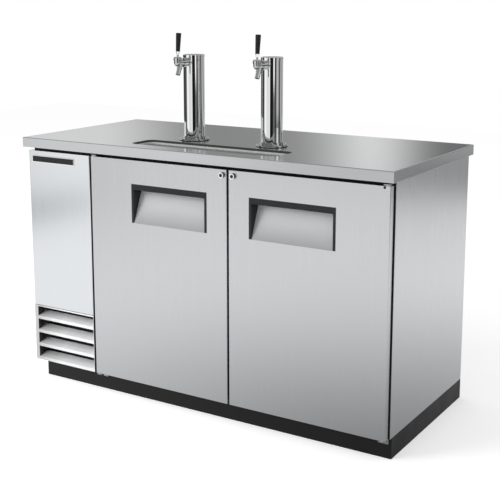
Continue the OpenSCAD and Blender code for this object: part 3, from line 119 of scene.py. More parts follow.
# Floor: its tone; the middle, reach and deepest tone of the shade that mirrors see round the base; and the
# edge and tone of the darker part that they see beyond it on the left
FLOOR_TONE = 0.92
SHADE_MIDDLE = (0.75, -0.3, 0)
SHADE_REACH = (-0.35, 2.3)
SHADE_TONE = 0.27
CARD_EDGE = (-2.9, -2.5)
CARD_TONE = 0.5

# Ring that only mirrors see: points round it, height of its foot in metres, and its grey bands. Each row is
# a band's start and end angle from the front, to the right, and the softness of both in degrees, its depth,
# and its lowest and highest place in metres, which are soft by the blur
TENT_POINTS = 96
TENT_FOOT = 0.002
LOW, HIGH = -9.0, 9.0
BAND_BLUR = 0.12
TENT_BANDS = (
    (12, 45, 2, 0.99, LOW, 1.4),
    (45, 58, 2, 0.88, LOW, 0.78),
    (58, 76, 3, 0.95, LOW, 1.75),
    (76, 86, 4, 0.66, LOW, 1.4),
    (86, 94, 3, 0.42, LOW, 1.4),
    (94, 106, 3, 0.70, LOW, 1.4),
    (106, 126, 3, 0.92, LOW, 1.75),
    (126, 172, 5, 0.5, 0.5, 1.1),
    (58, 140, 4, 0.75, LOW, 0.52),
    (140, 168, 4, 0.5, LOW, HIGH),
    (120, 176, 6, 0.4, LOW, 0.3),
    (-148, -104, 4, 0.96, LOW, 1.2),
    (-104, -76, 4, 0.96, 0.34, 1.2),
    (-76, -57, 4, 0.96, LOW, 1.2),
    (-158, -139, 6, 0.62, LOW, HIGH),
    (-154, -100, 8, 0.17, LOW, HIGH),
    (-184, -164, 5, 0.8, LOW, HIGH),
    (-78, -50, 2, 0.5, LOW, HIGH),
    (-27, 6, 9, 0.23, LOW, HIGH),
    (-75, 82, 4, 0.75, 1.2, 1.75),
    (98, 172, 4, 0.75, 1.2, 1.75),
)


# Kinds of setting

def tone(label, words, value):
    """A colour with three linear channels."""
    return FloatVectorProperty(name=label, description=words, default=value, size=3, min=0, max=1,
                               subtype="COLOR")


def length(label, words, value):
    """A length in metres."""
    return FloatProperty(name=label, description=words, default=value, min=0, unit="LENGTH")


def spot(label, words, value):
    """A place or size in metres along two or three axes."""
    return FloatVectorProperty(name=label, description=words, default=value, size=len(value), unit="LENGTH")


def amount(label, words, value, top=1.0):
    """A plain factor."""
    return FloatProperty(name=label, description=words, default=value, min=0, max=top, subtype="FACTOR")


def number(label, words, value, low, high):
    """A whole number between two limits."""
    return IntProperty(name=label, description=words, default=value, min=low, max=high)


def angle(label, words, degrees):
    """An angle, given in degrees."""
    return FloatProperty(name=label, description=words, default=math.radians(degrees), unit="ROTATION")


def power(label, words, watts):
    """A lamp's power in watts."""
    return FloatProperty(name=label, description=words, default=watts, min=0, unit="POWER")


class DispenserFinishes(PropertyGroup):
    """Colours and gloss of the dispenser's materials."""

    panel: tone("Panel steel", "Brushed sheet of the doors, sides and back", (0.675, 0.690, 0.705))
    # Partly a smoother finish and partly painted light: a lighter copy of the panel steel, standing in for
    # the machine panel's brighter reflection
    machine: tone("Machine panel", "Brighter brushed sheet of the machine panel", (0.79, 0.815, 0.835))
    # Partly a satin finish with little metal and partly painted light: a near-white tone that stands in for
    # the bright light on the slats
    louvre: tone("Louvre slats", "Satin sheet of the grille", (0.93, 0.935, 0.945))
    worktop: tone("Worktop steel", "Lengthwise brushed sheet of the worktop", (0.585, 0.595, 0.605))
    # Painted shade: a darker copy of the satin steel, standing in for the shade on the grates sunk in the pan
    drip: tone("Drip grate steel", "Satin steel of the grates and tubes", (0.40, 0.403, 0.406))
    pan: tone("Drip pan steel", "Satin steel of the sunk pan", (0.55, 0.552, 0.555))
    plug: tone("Lock plug", "Dull key plugs of the locks", (0.10, 0.10, 0.10))
    grip: tone("Handle moulding", "Dark moulding of the door handles", (0.012, 0.012, 0.013))
    liner: tone("Liner sheet", "Stucco sheet inside the cabinet", (0.70, 0.71, 0.72))
    zinc: tone("Zinc plate", "Plated steel of the hinge brackets", (0.48, 0.49, 0.51))
    chrome: tone("Chrome", "Polished plating of the towers and locks", (0.90, 0.905, 0.91))
    tap: tone("Tap chrome", "Darker plating of the taps and tower feet", (0.60, 0.605, 0.61))
    brass: tone("Brass", "Nuts inside the towers", (0.68, 0.48, 0.20))
    copper: tone("Copper", "Refrigerant lines", (0.72, 0.36, 0.22))
    fins: tone("Fin aluminium", "Evaporator coil and fan blades", (0.66, 0.67, 0.68))
    plastic: tone("Black plastic", "Frame strips, mullion and dial", (0.016, 0.016, 0.017))
    paint: tone("Black paint", "Base frame and cooling parts", (0.011, 0.011, 0.0115))
    rubber: tone("Black rubber", "Door gaskets, tower gaskets and bush", (0.012, 0.012, 0.012))
    handle: tone("Tap handle", "Moulded tap handles", (0.008, 0.008, 0.009))
    white: tone("White plastic", "Door liners and hinge bushes", (0.74, 0.75, 0.76))
    foam: tone("Foam", "Rigid insulation", (0.72, 0.62, 0.36))
    # Painted shade: a near-black core, standing in for the shade in the gap under the worktop
    core: tone("Worktop core", "Dark rigid foam under the worktop", (0.03, 0.03, 0.032))
    panel_rough: amount("Panel roughness", "Roughness of the brushed panels", 0.30)
    worktop_rough: amount("Worktop roughness", "Roughness of the worktop", 0.14)
    # Painted shade: height of the darkened band along the drip pan's upper edge
    rim_shade_depth: length("Rim depth", "Height of the drip pan's dark upper edge", 0.0075)
    edge_radius: length("Edge radius", "Softening of sheet edges in the shading", 0.0008)


class DispenserTrim(PropertyGroup):
    """Sizes of the small trim."""

    plate_centre: spot("Plate centre", "Middle of the bare plate, across and up", (-0.6205, 0.862))
    plate_size: spot("Plate size", "Width and height of the bare plate", (0.203, 0.026))
    plate_thick: length("Plate thickness", "Thickness of the bare plate", 0.0016)
    plate_rim: length("Plate rim", "Width of the plate's bright rim", 0.0024)
    corner_steps: number("Corner steps", "Points round each corner of the plate", 8, 2, 24)
    screw_radius: length("Screw radius", "Radius of the screw heads", 0.0042)
    screw_height: length("Screw height", "Height of the screw heads", 0.0018)
    screw_lobes: number("Screw lobes", "Arms of the driver recess", 4, 3, 6)
    door_screw: spot("Door screw", "Middle of the door's hinge screw, across and up", (0.7135, 0.8872))
    leg_screw_drop: length("Leg screw drop", "Distance of the bracket screws below the doors", 0.0155)


class DispenserStage(PropertyGroup):
    """Camera, light and floor."""

    camera_place: spot("Camera place", "Where the camera stands", (1.9734, -3.1393, 1.4451))
    camera_pitch: angle("Camera pitch", "Downward tilt of the camera", 10.339)
    camera_yaw: angle("Camera yaw", "Turn of the camera about the vertical", 31.716)
    camera_lens: FloatProperty(name="Lens", description="Focal length in millimetres", default=74.05, min=1,
                               unit="CAMERA")
    camera_shift: FloatProperty(name="Camera shift", description="Upward shift of the frame", default=-0.125)
    sky_light: amount("Sky light", "Level of the even light from all round", 0.6, 2)
    key_power: power("Key power", "Power of the soft key lamp", 50)
    fill_power: power("Fill power", "Power of the soft fill lamp in front", 75)
    floor_size: length("Floor size", "Side of the square floor", 16.0)
    floor_top_up: amount("Floor top-up", "Brightness added to the floor where the camera sees it", 0.42)
    tent_radius: length("Tent radius", "Radius of the ring that metal reflects", 4.6)
    tent_height: length("Tent height", "Height of that ring", 3.4)
    roof_tone: amount("Roof tone", "Brightness of the disc over that ring", 0.4)


# Helpers for materials

def shader_of(tree):
    """The Principled shader of a node tree."""
    return next(n for n in tree.nodes if n.type == "BSDF_PRINCIPLED")


def new_finish(name):
    """An empty material with a Principled shader; returns it, its node tree and the shader."""
    mat = bpy.data.materials.new(name)
    mat.use_nodes = True
    return mat, mat.node_tree, shader_of(mat.node_tree)


def attach(tree, socket, value):
    """Sets an input socket, or links an output socket to it."""
    if isinstance(value, NodeSocket):
        tree.links.new(value, socket)
    else:
        socket.default_value = value


def put(tree, node, name, value):
    """Sets or links the first enabled input of that name."""
    match = {s.name.lower(): s for s in reversed(node.inputs) if s.enabled}
    attach(tree, match[name.lower()], value)


def add(tree, kind, **sockets):
    """A new node; each keyword sets or links the input of that name."""
    node = tree.nodes.new("ShaderNode" + kind)
    for key, value in sockets.items():
        put(tree, node, key.replace("_", " "), value)
    return node


def place_on_object(tree, scale):
    """Object coordinates stretched by three scales."""
    where = add(tree, "TexCoord")
    return add(tree, "Mapping", Vector=where.outputs["Object"], Scale=scale).outputs[0]


def noise(tree, scale, detail, rough, warp=0.0):
    """Noise on Object coordinates, from 0 to 1, with its own scale on each axis."""
    node = add(tree, "TexNoise", Vector=place_on_object(tree, scale), Scale=1.0, Detail=detail,
               Roughness=rough, Distortion=warp)
    return node.outputs[0]


def cells(tree, scale, feature="F1"):
    """Voronoi cells on Object coordinates, alike on all axes: the distance and the cell's colour."""
    node = tree.nodes.new("ShaderNodeTexVoronoi")
    node.feature = feature
    put(tree, node, "Vector", place_on_object(tree, [scale] * 3))
    put(tree, node, "Scale", 1.0)
    return node.outputs["Distance"], node.outputs["Color"]


def spread(tree, value, low, high, start=0.3, end=0.7):
    """A value from start to end spread over low to high."""
    node = add(tree, "MapRange", Value=value, From_Min=start, From_Max=end, To_Min=low, To_Max=high)
    return node.outputs[0]


def soft_step(tree, value, start, end, low, high):
    """A smooth step from low to high as a value goes from start to end."""
    out = spread(tree, value, low, high, start, end)
    out.node.interpolation_type = "SMOOTHSTEP"
    return out


def shade(tree, factor, first, second, kind="MIX"):
    """A colour between two by a factor, each three channels or a socket; kind names how they join."""
    node = tree.nodes.new("ShaderNodeMix")
    node.data_type = "RGBA"
    node.blend_type = kind
    attach(tree, node.inputs[0], factor)
    for socket, colour in zip(node.inputs[6:8], (first, second)):
        attach(tree, socket, colour if isinstance(colour, NodeSocket) else (*colour, 1))
    return node.outputs[2]


def scaled(colour, factor):
    """A colour times a factor, kept within 1."""
    return tuple(min(1.0, c * factor) for c in colour)


def joined(tree, first, second, kind):
    """Two values joined by a math node."""
    node = tree.nodes.new("ShaderNodeMath")
    node.operation = kind
    for socket, value in zip(node.inputs, (first, second)):
        attach(tree, socket, value)
    return node.outputs[0]


def plus(tree, first, second):
    """One value plus another."""
    return joined(tree, first, second, "ADD")


def times(tree, first, second):
    """One value times another."""
    return joined(tree, first, second, "MULTIPLY")


def relief(tree, shader, height, strength, depth, edge=0.0):
    """Bump from a height, over edges softened by a bevel radius."""
    bump = add(tree, "Bump", Height=height, Strength=strength, Distance=depth)
    if edge > 0:
        soft = add(tree, "Bevel", Radius=edge)
        soft.samples = BEVEL_SAMPLES
        put(tree, bump, "Normal", soft.outputs[0])
    put(tree, shader, "Normal", bump.outputs[0])


# Finishes

def drawn_out(scales, along):
    """Three noise scales from two: the second on the axis of the brushing, and the first across it."""
    across, lengthwise = scales
    return [lengthwise if axis == along else across for axis in "XYZ"]


def brushed(name, colour, rough, along, edge, anisotropic, contrast, metallic=1.0, scratch=0.04):
    """Brushed sheet: noise drawn out along one axis sets tone, gloss and a fine relief."""
    mat, tree, shader = new_finish(name)
    fine = noise(tree, drawn_out(SCRATCHES, along), detail=5.0, rough=0.7)
    long = noise(tree, drawn_out(STREAKS, along), detail=4.0, rough=0.6)
    cloud = noise(tree, [CLOUDS] * 3, detail=3.0, rough=0.5)
    parts = [times(tree, value, share) for value, share in zip((fine, long, cloud), SHARES)]
    mix = plus(tree, plus(tree, parts[0], parts[1]), parts[2])
    level = spread(tree, mix, 0, 1, *MIX_RANGE)
    dark, light = scaled(colour, 1 - contrast), scaled(colour, 1 + contrast)
    put(tree, shader, "Base Color", shade(tree, level, dark, light))
    put(tree, shader, "Metallic", metallic)
    put(tree, shader, "Roughness", spread(tree, mix, rough * 0.85, rough * 1.2, *MIX_RANGE))
    put(tree, shader, "Anisotropic", anisotropic)
    turn = add(tree, "Tangent")
    turn.direction_type = "RADIAL"
    turn.axis = along
    put(tree, shader, "Tangent", turn.outputs[0])
    relief(tree, shader, fine, strength=scratch, depth=0.0003, edge=edge)
    return mat


def polished(name, colour):
    """Chrome plate: a mirror with faint wiping marks and a slow tone change."""
    mat, tree, shader = new_finish(name)
    wipe = noise(tree, (60, 60, 14), detail=5.0, rough=0.65, warp=0.4)
    cloud = noise(tree, (9, 9, 9), detail=3.0, rough=0.5)
    put(tree, shader, "Base Color", shade(tree, cloud, scaled(colour, 0.97), scaled(colour, 1.02)))
    put(tree, shader, "Metallic", 1.0)
    put(tree, shader, "Roughness", spread(tree, wipe, 0.025, 0.07, start=0.4, end=0.75))
    relief(tree, shader, cloud, strength=0.01, depth=0.0005, edge=0.0004)
    return mat


def plain_metal(name, colour, rough, dark, patch):
    """Bare metal with patches of tarnish and a fine drawn texture."""
    mat, tree, shader = new_finish(name)
    stain = noise(tree, [patch] * 3, detail=6.0, rough=0.65, warp=0.6)
    fine = noise(tree, (700, 700, 700), detail=3.0, rough=0.6)
    put(tree, shader, "Base Color", shade(tree, spread(tree, stain, 0, 1), scaled(colour, dark), colour))
    put(tree, shader, "Metallic", 1.0)
    put(tree, shader, "Roughness", spread(tree, stain, rough * 1.35, rough * 0.85))
    relief(tree, shader, fine, strength=0.08, depth=0.0003, edge=0.0004)
    return mat


def plated(name, colour):
    """Zinc plate: small crystals of slightly different tone under a soft shine."""
    mat, tree, shader = new_finish(name)
    border, crystal = cells(tree, 180)
    grey = add(tree, "RGBToBW", Color=crystal).outputs[0]
    put(tree, shader, "Base Color", shade(tree, grey, scaled(colour, 0.82), scaled(colour, 1.12)))
    put(tree, shader, "Metallic", 1.0)
    put(tree, shader, "Roughness", spread(tree, grey, 0.30, 0.46, start=0.0, end=1.0))
    relief(tree, shader, border, strength=0.05, depth=0.0004, edge=0.0005)
    return mat


def stucco(name, colour):
    """Stucco sheet: an embossed pattern of soft pebbles on bright metal."""
    mat, tree, shader = new_finish(name)
    pebble, _ = cells(tree, 190, "SMOOTH_F1")
    cloud = noise(tree, (6, 6, 6), detail=4.0, rough=0.6)
    put(tree, shader, "Base Color", shade(tree, cloud, scaled(colour, 0.93), scaled(colour, 1.04)))
    put(tree, shader, "Metallic", 0.9)
    put(tree, shader, "Roughness", spread(tree, cloud, 0.30, 0.40))
    relief(tree, shader, pebble, strength=0.35, depth=0.0008)
    return mat


def moulded(name, colour, rough, shine, texture, strength, coat=0.0):
    """Moulded plastic or paint: a fine even texture, with slow changes of tone and gloss."""
    mat, tree, shader = new_finish(name)
    pebble = noise(tree, [texture] * 3, detail=3.0, rough=0.55)
    cloud = noise(tree, (11, 11, 11), detail=4.0, rough=0.6)
    put(tree, shader, "Base Color", shade(tree, cloud, scaled(colour, 0.85), scaled(colour, 1.15)))
    put(tree, shader, "Roughness", spread(tree, cloud, rough * 0.88, rough * 1.12))
    put(tree, shader, "Specular IOR Level", shine)
    put(tree, shader, "Coat Weight", coat)
    put(tree, shader, "Coat Roughness", 0.08)
    relief(tree, shader, pebble, strength=strength, depth=0.0004, edge=0.0006)
    return mat


def foamed(name, colour):
    """Rigid foam: closed cells with darker hollows."""
    mat, tree, shader = new_finish(name)
    pore, _ = cells(tree, 420)
    hollow = spread(tree, pore, 0, 1, start=0.1, end=0.8)
    put(tree, shader, "Base Color", shade(tree, hollow, scaled(colour, 0.75), colour))
    put(tree, shader, "Roughness", 0.9)
    put(tree, shader, "Specular IOR Level", 0.2)
    relief(tree, shader, pore, strength=0.4, depth=0.001)
    return mat


# Changes of a finish by a surface's own lean or place: painted light and shade, and satin slopes

def coordinate(tree, kind, axis):
    """One axis of the object's own normal or place."""
    return add(tree, "SeparateXYZ", Vector=add(tree, "TexCoord").outputs[kind]).outputs[axis]


def facing(tree, axis, start, end):
    """0 to 1 as the surface's own normal leans from start to end along one axis."""
    return spread(tree, coordinate(tree, "Normal", axis), 0, 1, start, end)


def beyond(tree, axis, start, end):
    """0 to 1 as the place on the object goes from start to end along one axis."""
    return spread(tree, coordinate(tree, "Object", axis), 0, 1, start, end)


def slope(tree):
    """1 on the faces that lean upwards, and 0 on upright and level ones."""
    return times(tree, facing(tree, "Z", *LEAN), facing(tree, "Z", *LEVEL))


def slope_height(tree, start, end):
    """0 to 1 from start to end in height, on the faces that lean upwards only."""
    return times(tree, slope(tree), beyond(tree, "Z", start, end))


def paint_light_and_shade(mat, factor, kind, *where):
    """Paints light and shade into a material's own colour: multiplies it by a factor, as far as a mask of its
    normal or place says.
    """
    tree = mat.node_tree
    shader = shader_of(tree)
    own = shader.inputs["Base Color"].links[0].from_socket
    put(tree, shader, "Base Color", shade(tree, kind(tree, *where), own, [factor] * 3, "MULTIPLY"))
    return mat


def satin_slope(mat, metal, rougher):
    """Makes the faces that lean upwards satin: less metal and a rougher surface."""
    tree = mat.node_tree
    shader = shader_of(tree)
    own = shader.inputs["Roughness"].links[0].from_socket
    lean = slope(tree)
    put(tree, shader, "Metallic", spread(tree, lean, 1.0, metal, start=0.0, end=1.0))
    put(tree, shader, "Roughness", plus(tree, own, times(tree, lean, rougher)))


def dress_node(name, mat):
    """Gives a material to one CAD node."""
    NODES[name].material_slots[0].link = "DATA"
    NODES[name].material_slots[0].material = mat


def dress(slot, mat):
    """Gives a material to every CAD node of a record slot."""
    for name, owner in SLOT_OF.items():
        if owner == slot:
            dress_node(name, mat)


def finish_on(name):
    """The material that a CAD node wears."""
    return NODES[name].material_slots[0].material


# Helpers for new pieces

def make_piece(name, points, faces, mat, body, smooth=True):
    """A mesh object at the origin from points and faces, with its material and body."""
    mesh = bpy.data.meshes.new(name)
    mesh.from_pydata(points.tolist(), [], faces)
    mesh.polygons.foreach_set("use_smooth", np.full(len(mesh.polygons), smooth))
    mesh.materials.append(mat)
    mesh.validate()
    mesh.update()
    piece = bpy.data.objects.new(name, mesh)
    bpy.context.scene.collection.objects.link(piece)
    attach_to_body(piece, body)
    return piece


def unit_circle(points):
    """Points evenly round a circle of radius 1, anticlockwise: their angles, and (n, 2) cosines and sines."""
    turn = np.linspace(0, 2 * math.pi, points, endpoint=False)
    return turn, np.column_stack([np.cos(turn), np.sin(turn)])


def at_height(outline, height):
    """A flat outline lifted to one height, as (n, 3) points."""
    return np.column_stack([outline, np.full(len(outline), height)])


def ring_faces(rings, count):
    """Quads between rings of points that close on themselves, as rows of point numbers."""
    row, col = np.meshgrid(np.arange(rings - 1), np.arange(count), indexing="ij")
    following = (col + 1) % count
    here, above = row * count, (row + 1) * count
    quads = np.stack([here + col, here + following, above + following, above + col], -1)
    return quads.reshape(-1, 4).tolist()


def rounded_ring(size, radius, steps):
    """Rounded rectangle: four quarter circles joined by straights, anticlockwise, as (n, 2) points."""
    turn = np.radians(np.arange(4)[:, None] * 90 + np.linspace(0, 90, steps)[None, :])
    corner = np.array([[1, 1], [-1, 1], [-1, -1], [1, -1]]) * (np.asarray(size) / 2 - radius)
    arc = radius * np.stack([np.cos(turn), np.sin(turn)], -1)
    return (corner[:, None, :] + arc).reshape(-1, 2)


def stack_form(outlines, heights):
    """Raised form: outlines of equal count, each at its height, closed by a middle point at the last."""
    count = len(outlines[0])
    rings = [at_height(line, height) for line, height in zip(outlines, heights)]
    points = np.concatenate(rings + [np.array([[0, 0, heights[-1]]])])
    last = (len(outlines) - 1) * count
    around = np.arange(count)
    cap = np.column_stack([last + around, last + (around + 1) % count, np.full(count, last + count)])
    return points, ring_faces(len(outlines), count) + cap.tolist()


def plate_form(size, radius, steps, insets, heights):
    """Raised plate: a rounded rectangle moved in by each inset and up by each height."""
    outlines = [rounded_ring(size - 2 * inset, max(radius - inset, LEAST_CORNER), steps) for inset in insets]
    return stack_form(outlines, heights)


def screw_form(radius, height, lobes):
    """Screw head: circles that follow a dome, then a recess whose radius swings with a cosine of lobes."""
    turn, circle = unit_circle(SCREW_POINTS)
    tilt = np.radians(DOME_TILTS)
    dome = [radius * math.cos(a) * circle for a in tilt]
    star = radius * (RECESS_RADIUS + RECESS_SWING * np.cos(lobes * turn))[:, None] * circle
    outlines = [radius * circle, *dome, star, RECESS_FLOOR_SIZE * star]
    rise = height * (SCREW_EDGE + (1 - SCREW_EDGE) * np.sin(tilt))
    return stack_form(outlines, [0.0, *rise, height, RECESS_FLOOR_HEIGHT * height])


def stand_on_front(points, centre, y):
    """Turns a flat form so that its height points to the front, with its middle at a place on that face."""
    return np.column_stack([points[:, 0] + centre[0], y - points[:, 2], points[:, 1] + centre[1]])


# Helpers for the studio

def empty_tree(owner):
    """Clears a material's or world's nodes and returns its node tree."""
    owner.use_nodes = True
    owner.node_tree.nodes.clear()
    return owner.node_tree


def show(tree, surface, kind="OutputMaterial"):
    """Joins a shader to the tree's output."""
    add(tree, kind, Surface=surface)


def glow(tree, strength):
    """White light of a set or linked strength."""
    return add(tree, "Emission", Color=WHITE, Strength=strength).outputs[0]


def stage_piece(name, points, faces, mat):
    """A mesh object of the studio, which isn't part of the dispenser."""
    mesh = bpy.data.meshes.new(name)
    mesh.from_pydata(points.tolist(), [], faces)
    mesh.materials.append(mat)
    piece = bpy.data.objects.new(name, mesh)
    bpy.context.scene.collection.objects.link(piece)
    return piece


def only_mirrors_see(piece):
    """Hides a piece of the studio from all but glossy rays."""
    piece.visible_camera = False
    piece.visible_diffuse = False
    piece.visible_shadow = False
    piece.visible_transmission = False


# Operators

class DISPENSER_OT_steel(Operator):
    """Finish the brushed, stucco and plated sheet metal"""
    bl_idname = "dispenser.steel"
    bl_label = "Sheet metal"

    def execute(self, context):
        look = context.scene.dispenser_finishes
        self.panels(look)
        self.grille(look)
        self.top(look)
        dress("liner_metal", stucco("Stucco liner", look.liner))
        dress("zinc_steel", plated("Zinc plate", look.zinc))
        return {"FINISHED"}

    def panels(self, look):
        """Upright brushing on the sides, back, machine panel and doors, with painted shade and light on the
        door ramps.
        """
        upright = {"along": "Z", "edge": look.edge_radius}
        sheet = {"rough": look.panel_rough, "anisotropic": 0.5, "contrast": 0.022, **upright}
        dress("panel_steel", brushed("Brushed panel", look.panel, **sheet))
        doors = brushed("Brushed door", look.panel, **sheet)
        low, high = (corner[2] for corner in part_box("door_handle_left"))
        satin_slope(doors, metal=0.1, rougher=0.25)
        # Painted light and shade on the finger ramps: darker at the foot and lighter towards the top, which
        # evens out the shadow under the handle's lip
        paint_light_and_shade(doors, RAMP_FOOT_PAINTED_SHADE, slope)
        paint_light_and_shade(doors, RAMP_TOP_PAINTED_LIGHT, slope_height, low, high)
        for side in SIDES:
            dress_node(f"door_skin_{side}", doors)
        # The machine panel's lighter tone is partly a smoother finish and partly painted light, standing in
        # for its brighter reflection
        dress_node("machine_front_panel", brushed("Machine panel", look.machine, rough=0.17, anisotropic=0.3,
                                                  contrast=0.03, **upright))

    def grille(self, look):
        """Satin slats, with painted shade at their left end and on the cheeks between them."""
        # The slats' near-white tone is partly a satin finish and partly painted light
        slats = brushed("Louvre satin", look.louvre, rough=0.34, along="X", edge=look.edge_radius,
                        anisotropic=0.2, contrast=0.05, metallic=0.12)
        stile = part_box("louvre_grille")[0][0] + STILE_WIDTH
        # Painted shade: the slats darken towards the left end, where the stile's shadow falls
        paint_light_and_shade(slats, GRILLE_END_SHADE, beyond, "X", stile + GRILLE_END_SHADE_RUN, stile)
        # Painted shade: the cheeks that face right, away from the lamps, are made near black
        paint_light_and_shade(slats, GRILLE_CHEEK_SHADE, facing, "X", *CHEEK_SHADE_LEAN)
        dress_node("louvre_grille", slats)

    def top(self, look):
        """Lengthwise brushing on the worktop, the grates and the pan, with painted shade on the pan's upper
        rim.
        """
        lengthwise = {"along": "X", "edge": look.edge_radius}
        satin = {"anisotropic": 0.2, "contrast": 0.05, "metallic": 0.6, **lengthwise}
        dress("worktop_steel", brushed("Brushed worktop", look.worktop, rough=look.worktop_rough,
                                       anisotropic=0.3, contrast=0.04, scratch=0.012, **lengthwise))
        # Painted shade: the grates' darker steel stands in for the shade in the sunk pan
        dress("drip_steel", brushed("Satin grate", look.drip, rough=0.45, **satin))
        pan = brushed("Drawn pan", look.pan, rough=0.4, **satin)
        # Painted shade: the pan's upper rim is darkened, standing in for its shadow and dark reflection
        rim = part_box("drip_pan")[1][2] - look.rim_shade_depth
        dress_node("drip_pan", paint_light_and_shade(pan, PAN_RIM_SHADE, beyond, "Z", rim - PAN_RIM_SHADE_BLUR, rim + PAN_RIM_SHADE_BLUR))


class DISPENSER_OT_chrome(Operator):
    """Finish the towers, taps and locks"""
    bl_idname = "dispenser.chrome"
    bl_label = "Chrome"

    def execute(self, context):
        look = context.scene.dispenser_finishes
        dress("polished_chrome", polished("Tower chrome", look.chrome))
        tap = polished("Tap chrome", look.tap)
        for name in ("tower_flanges", "shanks", "coupling_nuts", "faucet_bodies", "faucet_bonnets"):
            dress_node(name, tap)
        for side in SIDES:
            # Painted shade: the lock barrels' flanks are darkened, standing in for the dark crescent of
            # shadow beside each lock
            barrel = polished(f"Lock chrome {side}", look.chrome)
            dress_node(f"lock_barrel_{side}", paint_light_and_shade(barrel, BARREL_FLANK_SHADE, facing, "Y", *FLANK_SHADE_LEAN))
            plug = plain_metal(f"Dull plug {side}", look.plug, rough=0.4, dark=0.6, patch=200.0)
            dress_node(f"lock_plug_{side}", plug)
        dress("tap_black", moulded("Tap handle", look.handle, rough=0.2, shine=0.5, texture=500.0,
                                   strength=0.02, coat=0.3))
        return {"FINISHED"}


class DISPENSER_OT_plastics(Operator):
    """Finish the mouldings, gaskets, paint and foam"""
    bl_idname = "dispenser.plastics"
    bl_label = "Plastics and paint"

    def execute(self, context):
        look = context.scene.dispenser_finishes
        grained = {"rough": 0.45, "texture": 1500.0, "strength": 0.25}
        dress("black_plastic", moulded("Black moulding", look.plastic, shine=0.3, **grained))
        for side in SIDES:
            grip = moulded(f"Handle moulding {side}", look.grip, shine=0.4, **grained)
            dress_node(f"door_handle_{side}", grip)
        dress("black_paint", moulded("Black paint", look.paint, rough=0.42, shine=0.3, texture=420.0,
                                     strength=0.12))
        dress("black_rubber", moulded("Black rubber", look.rubber, rough=0.7, shine=0.2, texture=900.0,
                                      strength=0.2))
        dress("white_plastic", moulded("White moulding", look.white, rough=0.32, shine=0.45, texture=700.0,
                                       strength=0.05))
        dress("foam", foamed("Rigid foam", look.foam))
        # Painted shade: the worktop core is near black, standing in for the shade in the gap under the
        # worktop
        dress_node("worktop_core", foamed("Dark foam", look.core))
        return {"FINISHED"}


class DISPENSER_OT_cooling(Operator):
    """Finish the bare metals of the cooling system and the tower nuts"""
    bl_idname = "dispenser.cooling"
    bl_label = "Bare metals"

    def execute(self, context):
        look = context.scene.dispenser_finishes
        dress("brass", plain_metal("Nut brass", look.brass, rough=0.28, dark=0.7, patch=70.0))
        dress("copper", plain_metal("Line copper", look.copper, rough=0.3, dark=0.6, patch=40.0))
        dress("fin_aluminium", plain_metal("Fin aluminium", look.fins, rough=0.36, dark=0.85, patch=30.0))
        return {"FINISHED"}


class DISPENSER_OT_plate(Operator):
    """Make the bare plate in the machine panel's upper corner"""
    bl_idname = "dispenser.plate"
    bl_label = "Bare plate"

    def execute(self, context):
        trim = context.scene.dispenser_trim
        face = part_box("machine_front_panel")[0][1]
        thick, rim, steps = trim.plate_thick, trim.plate_rim, trim.corner_steps
        chamfer, sunk = thick * PLATE_CHAMFER, thick * PLATE_FACE
        insets = (0, 0, chamfer, rim, rim, rim * FACE_RING)
        heights = (0, thick - chamfer, thick, thick, sunk, sunk)
        points, faces = plate_form(np.array(trim.plate_size), PLATE_CORNER, steps, insets, heights)
        piece = make_piece("bare_plate", stand_on_front(points, trim.plate_centre, face), faces,
                           finish_on("tower_caps"), "cabinet", smooth=False)
        piece.data.materials.append(finish_on("door_handle_left"))
        # The wall, chamfer and rim come first and are bright, and the rest is dark
        bright = BRIGHT_BANDS * 4 * steps
        dark = (np.arange(len(faces)) >= bright).astype(np.int32)
        piece.data.polygons.foreach_set("material_index", dark)
        return {"FINISHED"}


class DISPENSER_OT_screws(Operator):
    """Make the screws of the hinge brackets and of the right door's upper hinge"""
    bl_idname = "dispenser.screws"
    bl_label = "Screws"

    def execute(self, context):
        trim = context.scene.dispenser_trim
        points, faces = screw_form(trim.screw_radius, trim.screw_height, trim.screw_lobes)
        door_low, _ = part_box("door_skin_right")
        make_piece("door_hinge_screw", stand_on_front(points, trim.door_screw, door_low[1]), faces,
                   finish_on("base_frame"), "door_right")
        bracket_low, bracket_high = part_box("hinge_brackets")
        leg_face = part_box("base_frame")[0][1] - BRACKET_THICK
        across = (bracket_low[0] + BRACKET_WIDTH / 2, bracket_high[0] - BRACKET_WIDTH / 2)
        for side, x in zip(SIDES, across):
            place = (x, door_low[2] - trim.leg_screw_drop)
            make_piece(f"bracket_screw_{side}", stand_on_front(points, place, leg_face), faces,
                       finish_on("hinge_brackets"), "cabinet")
        return {"FINISHED"}


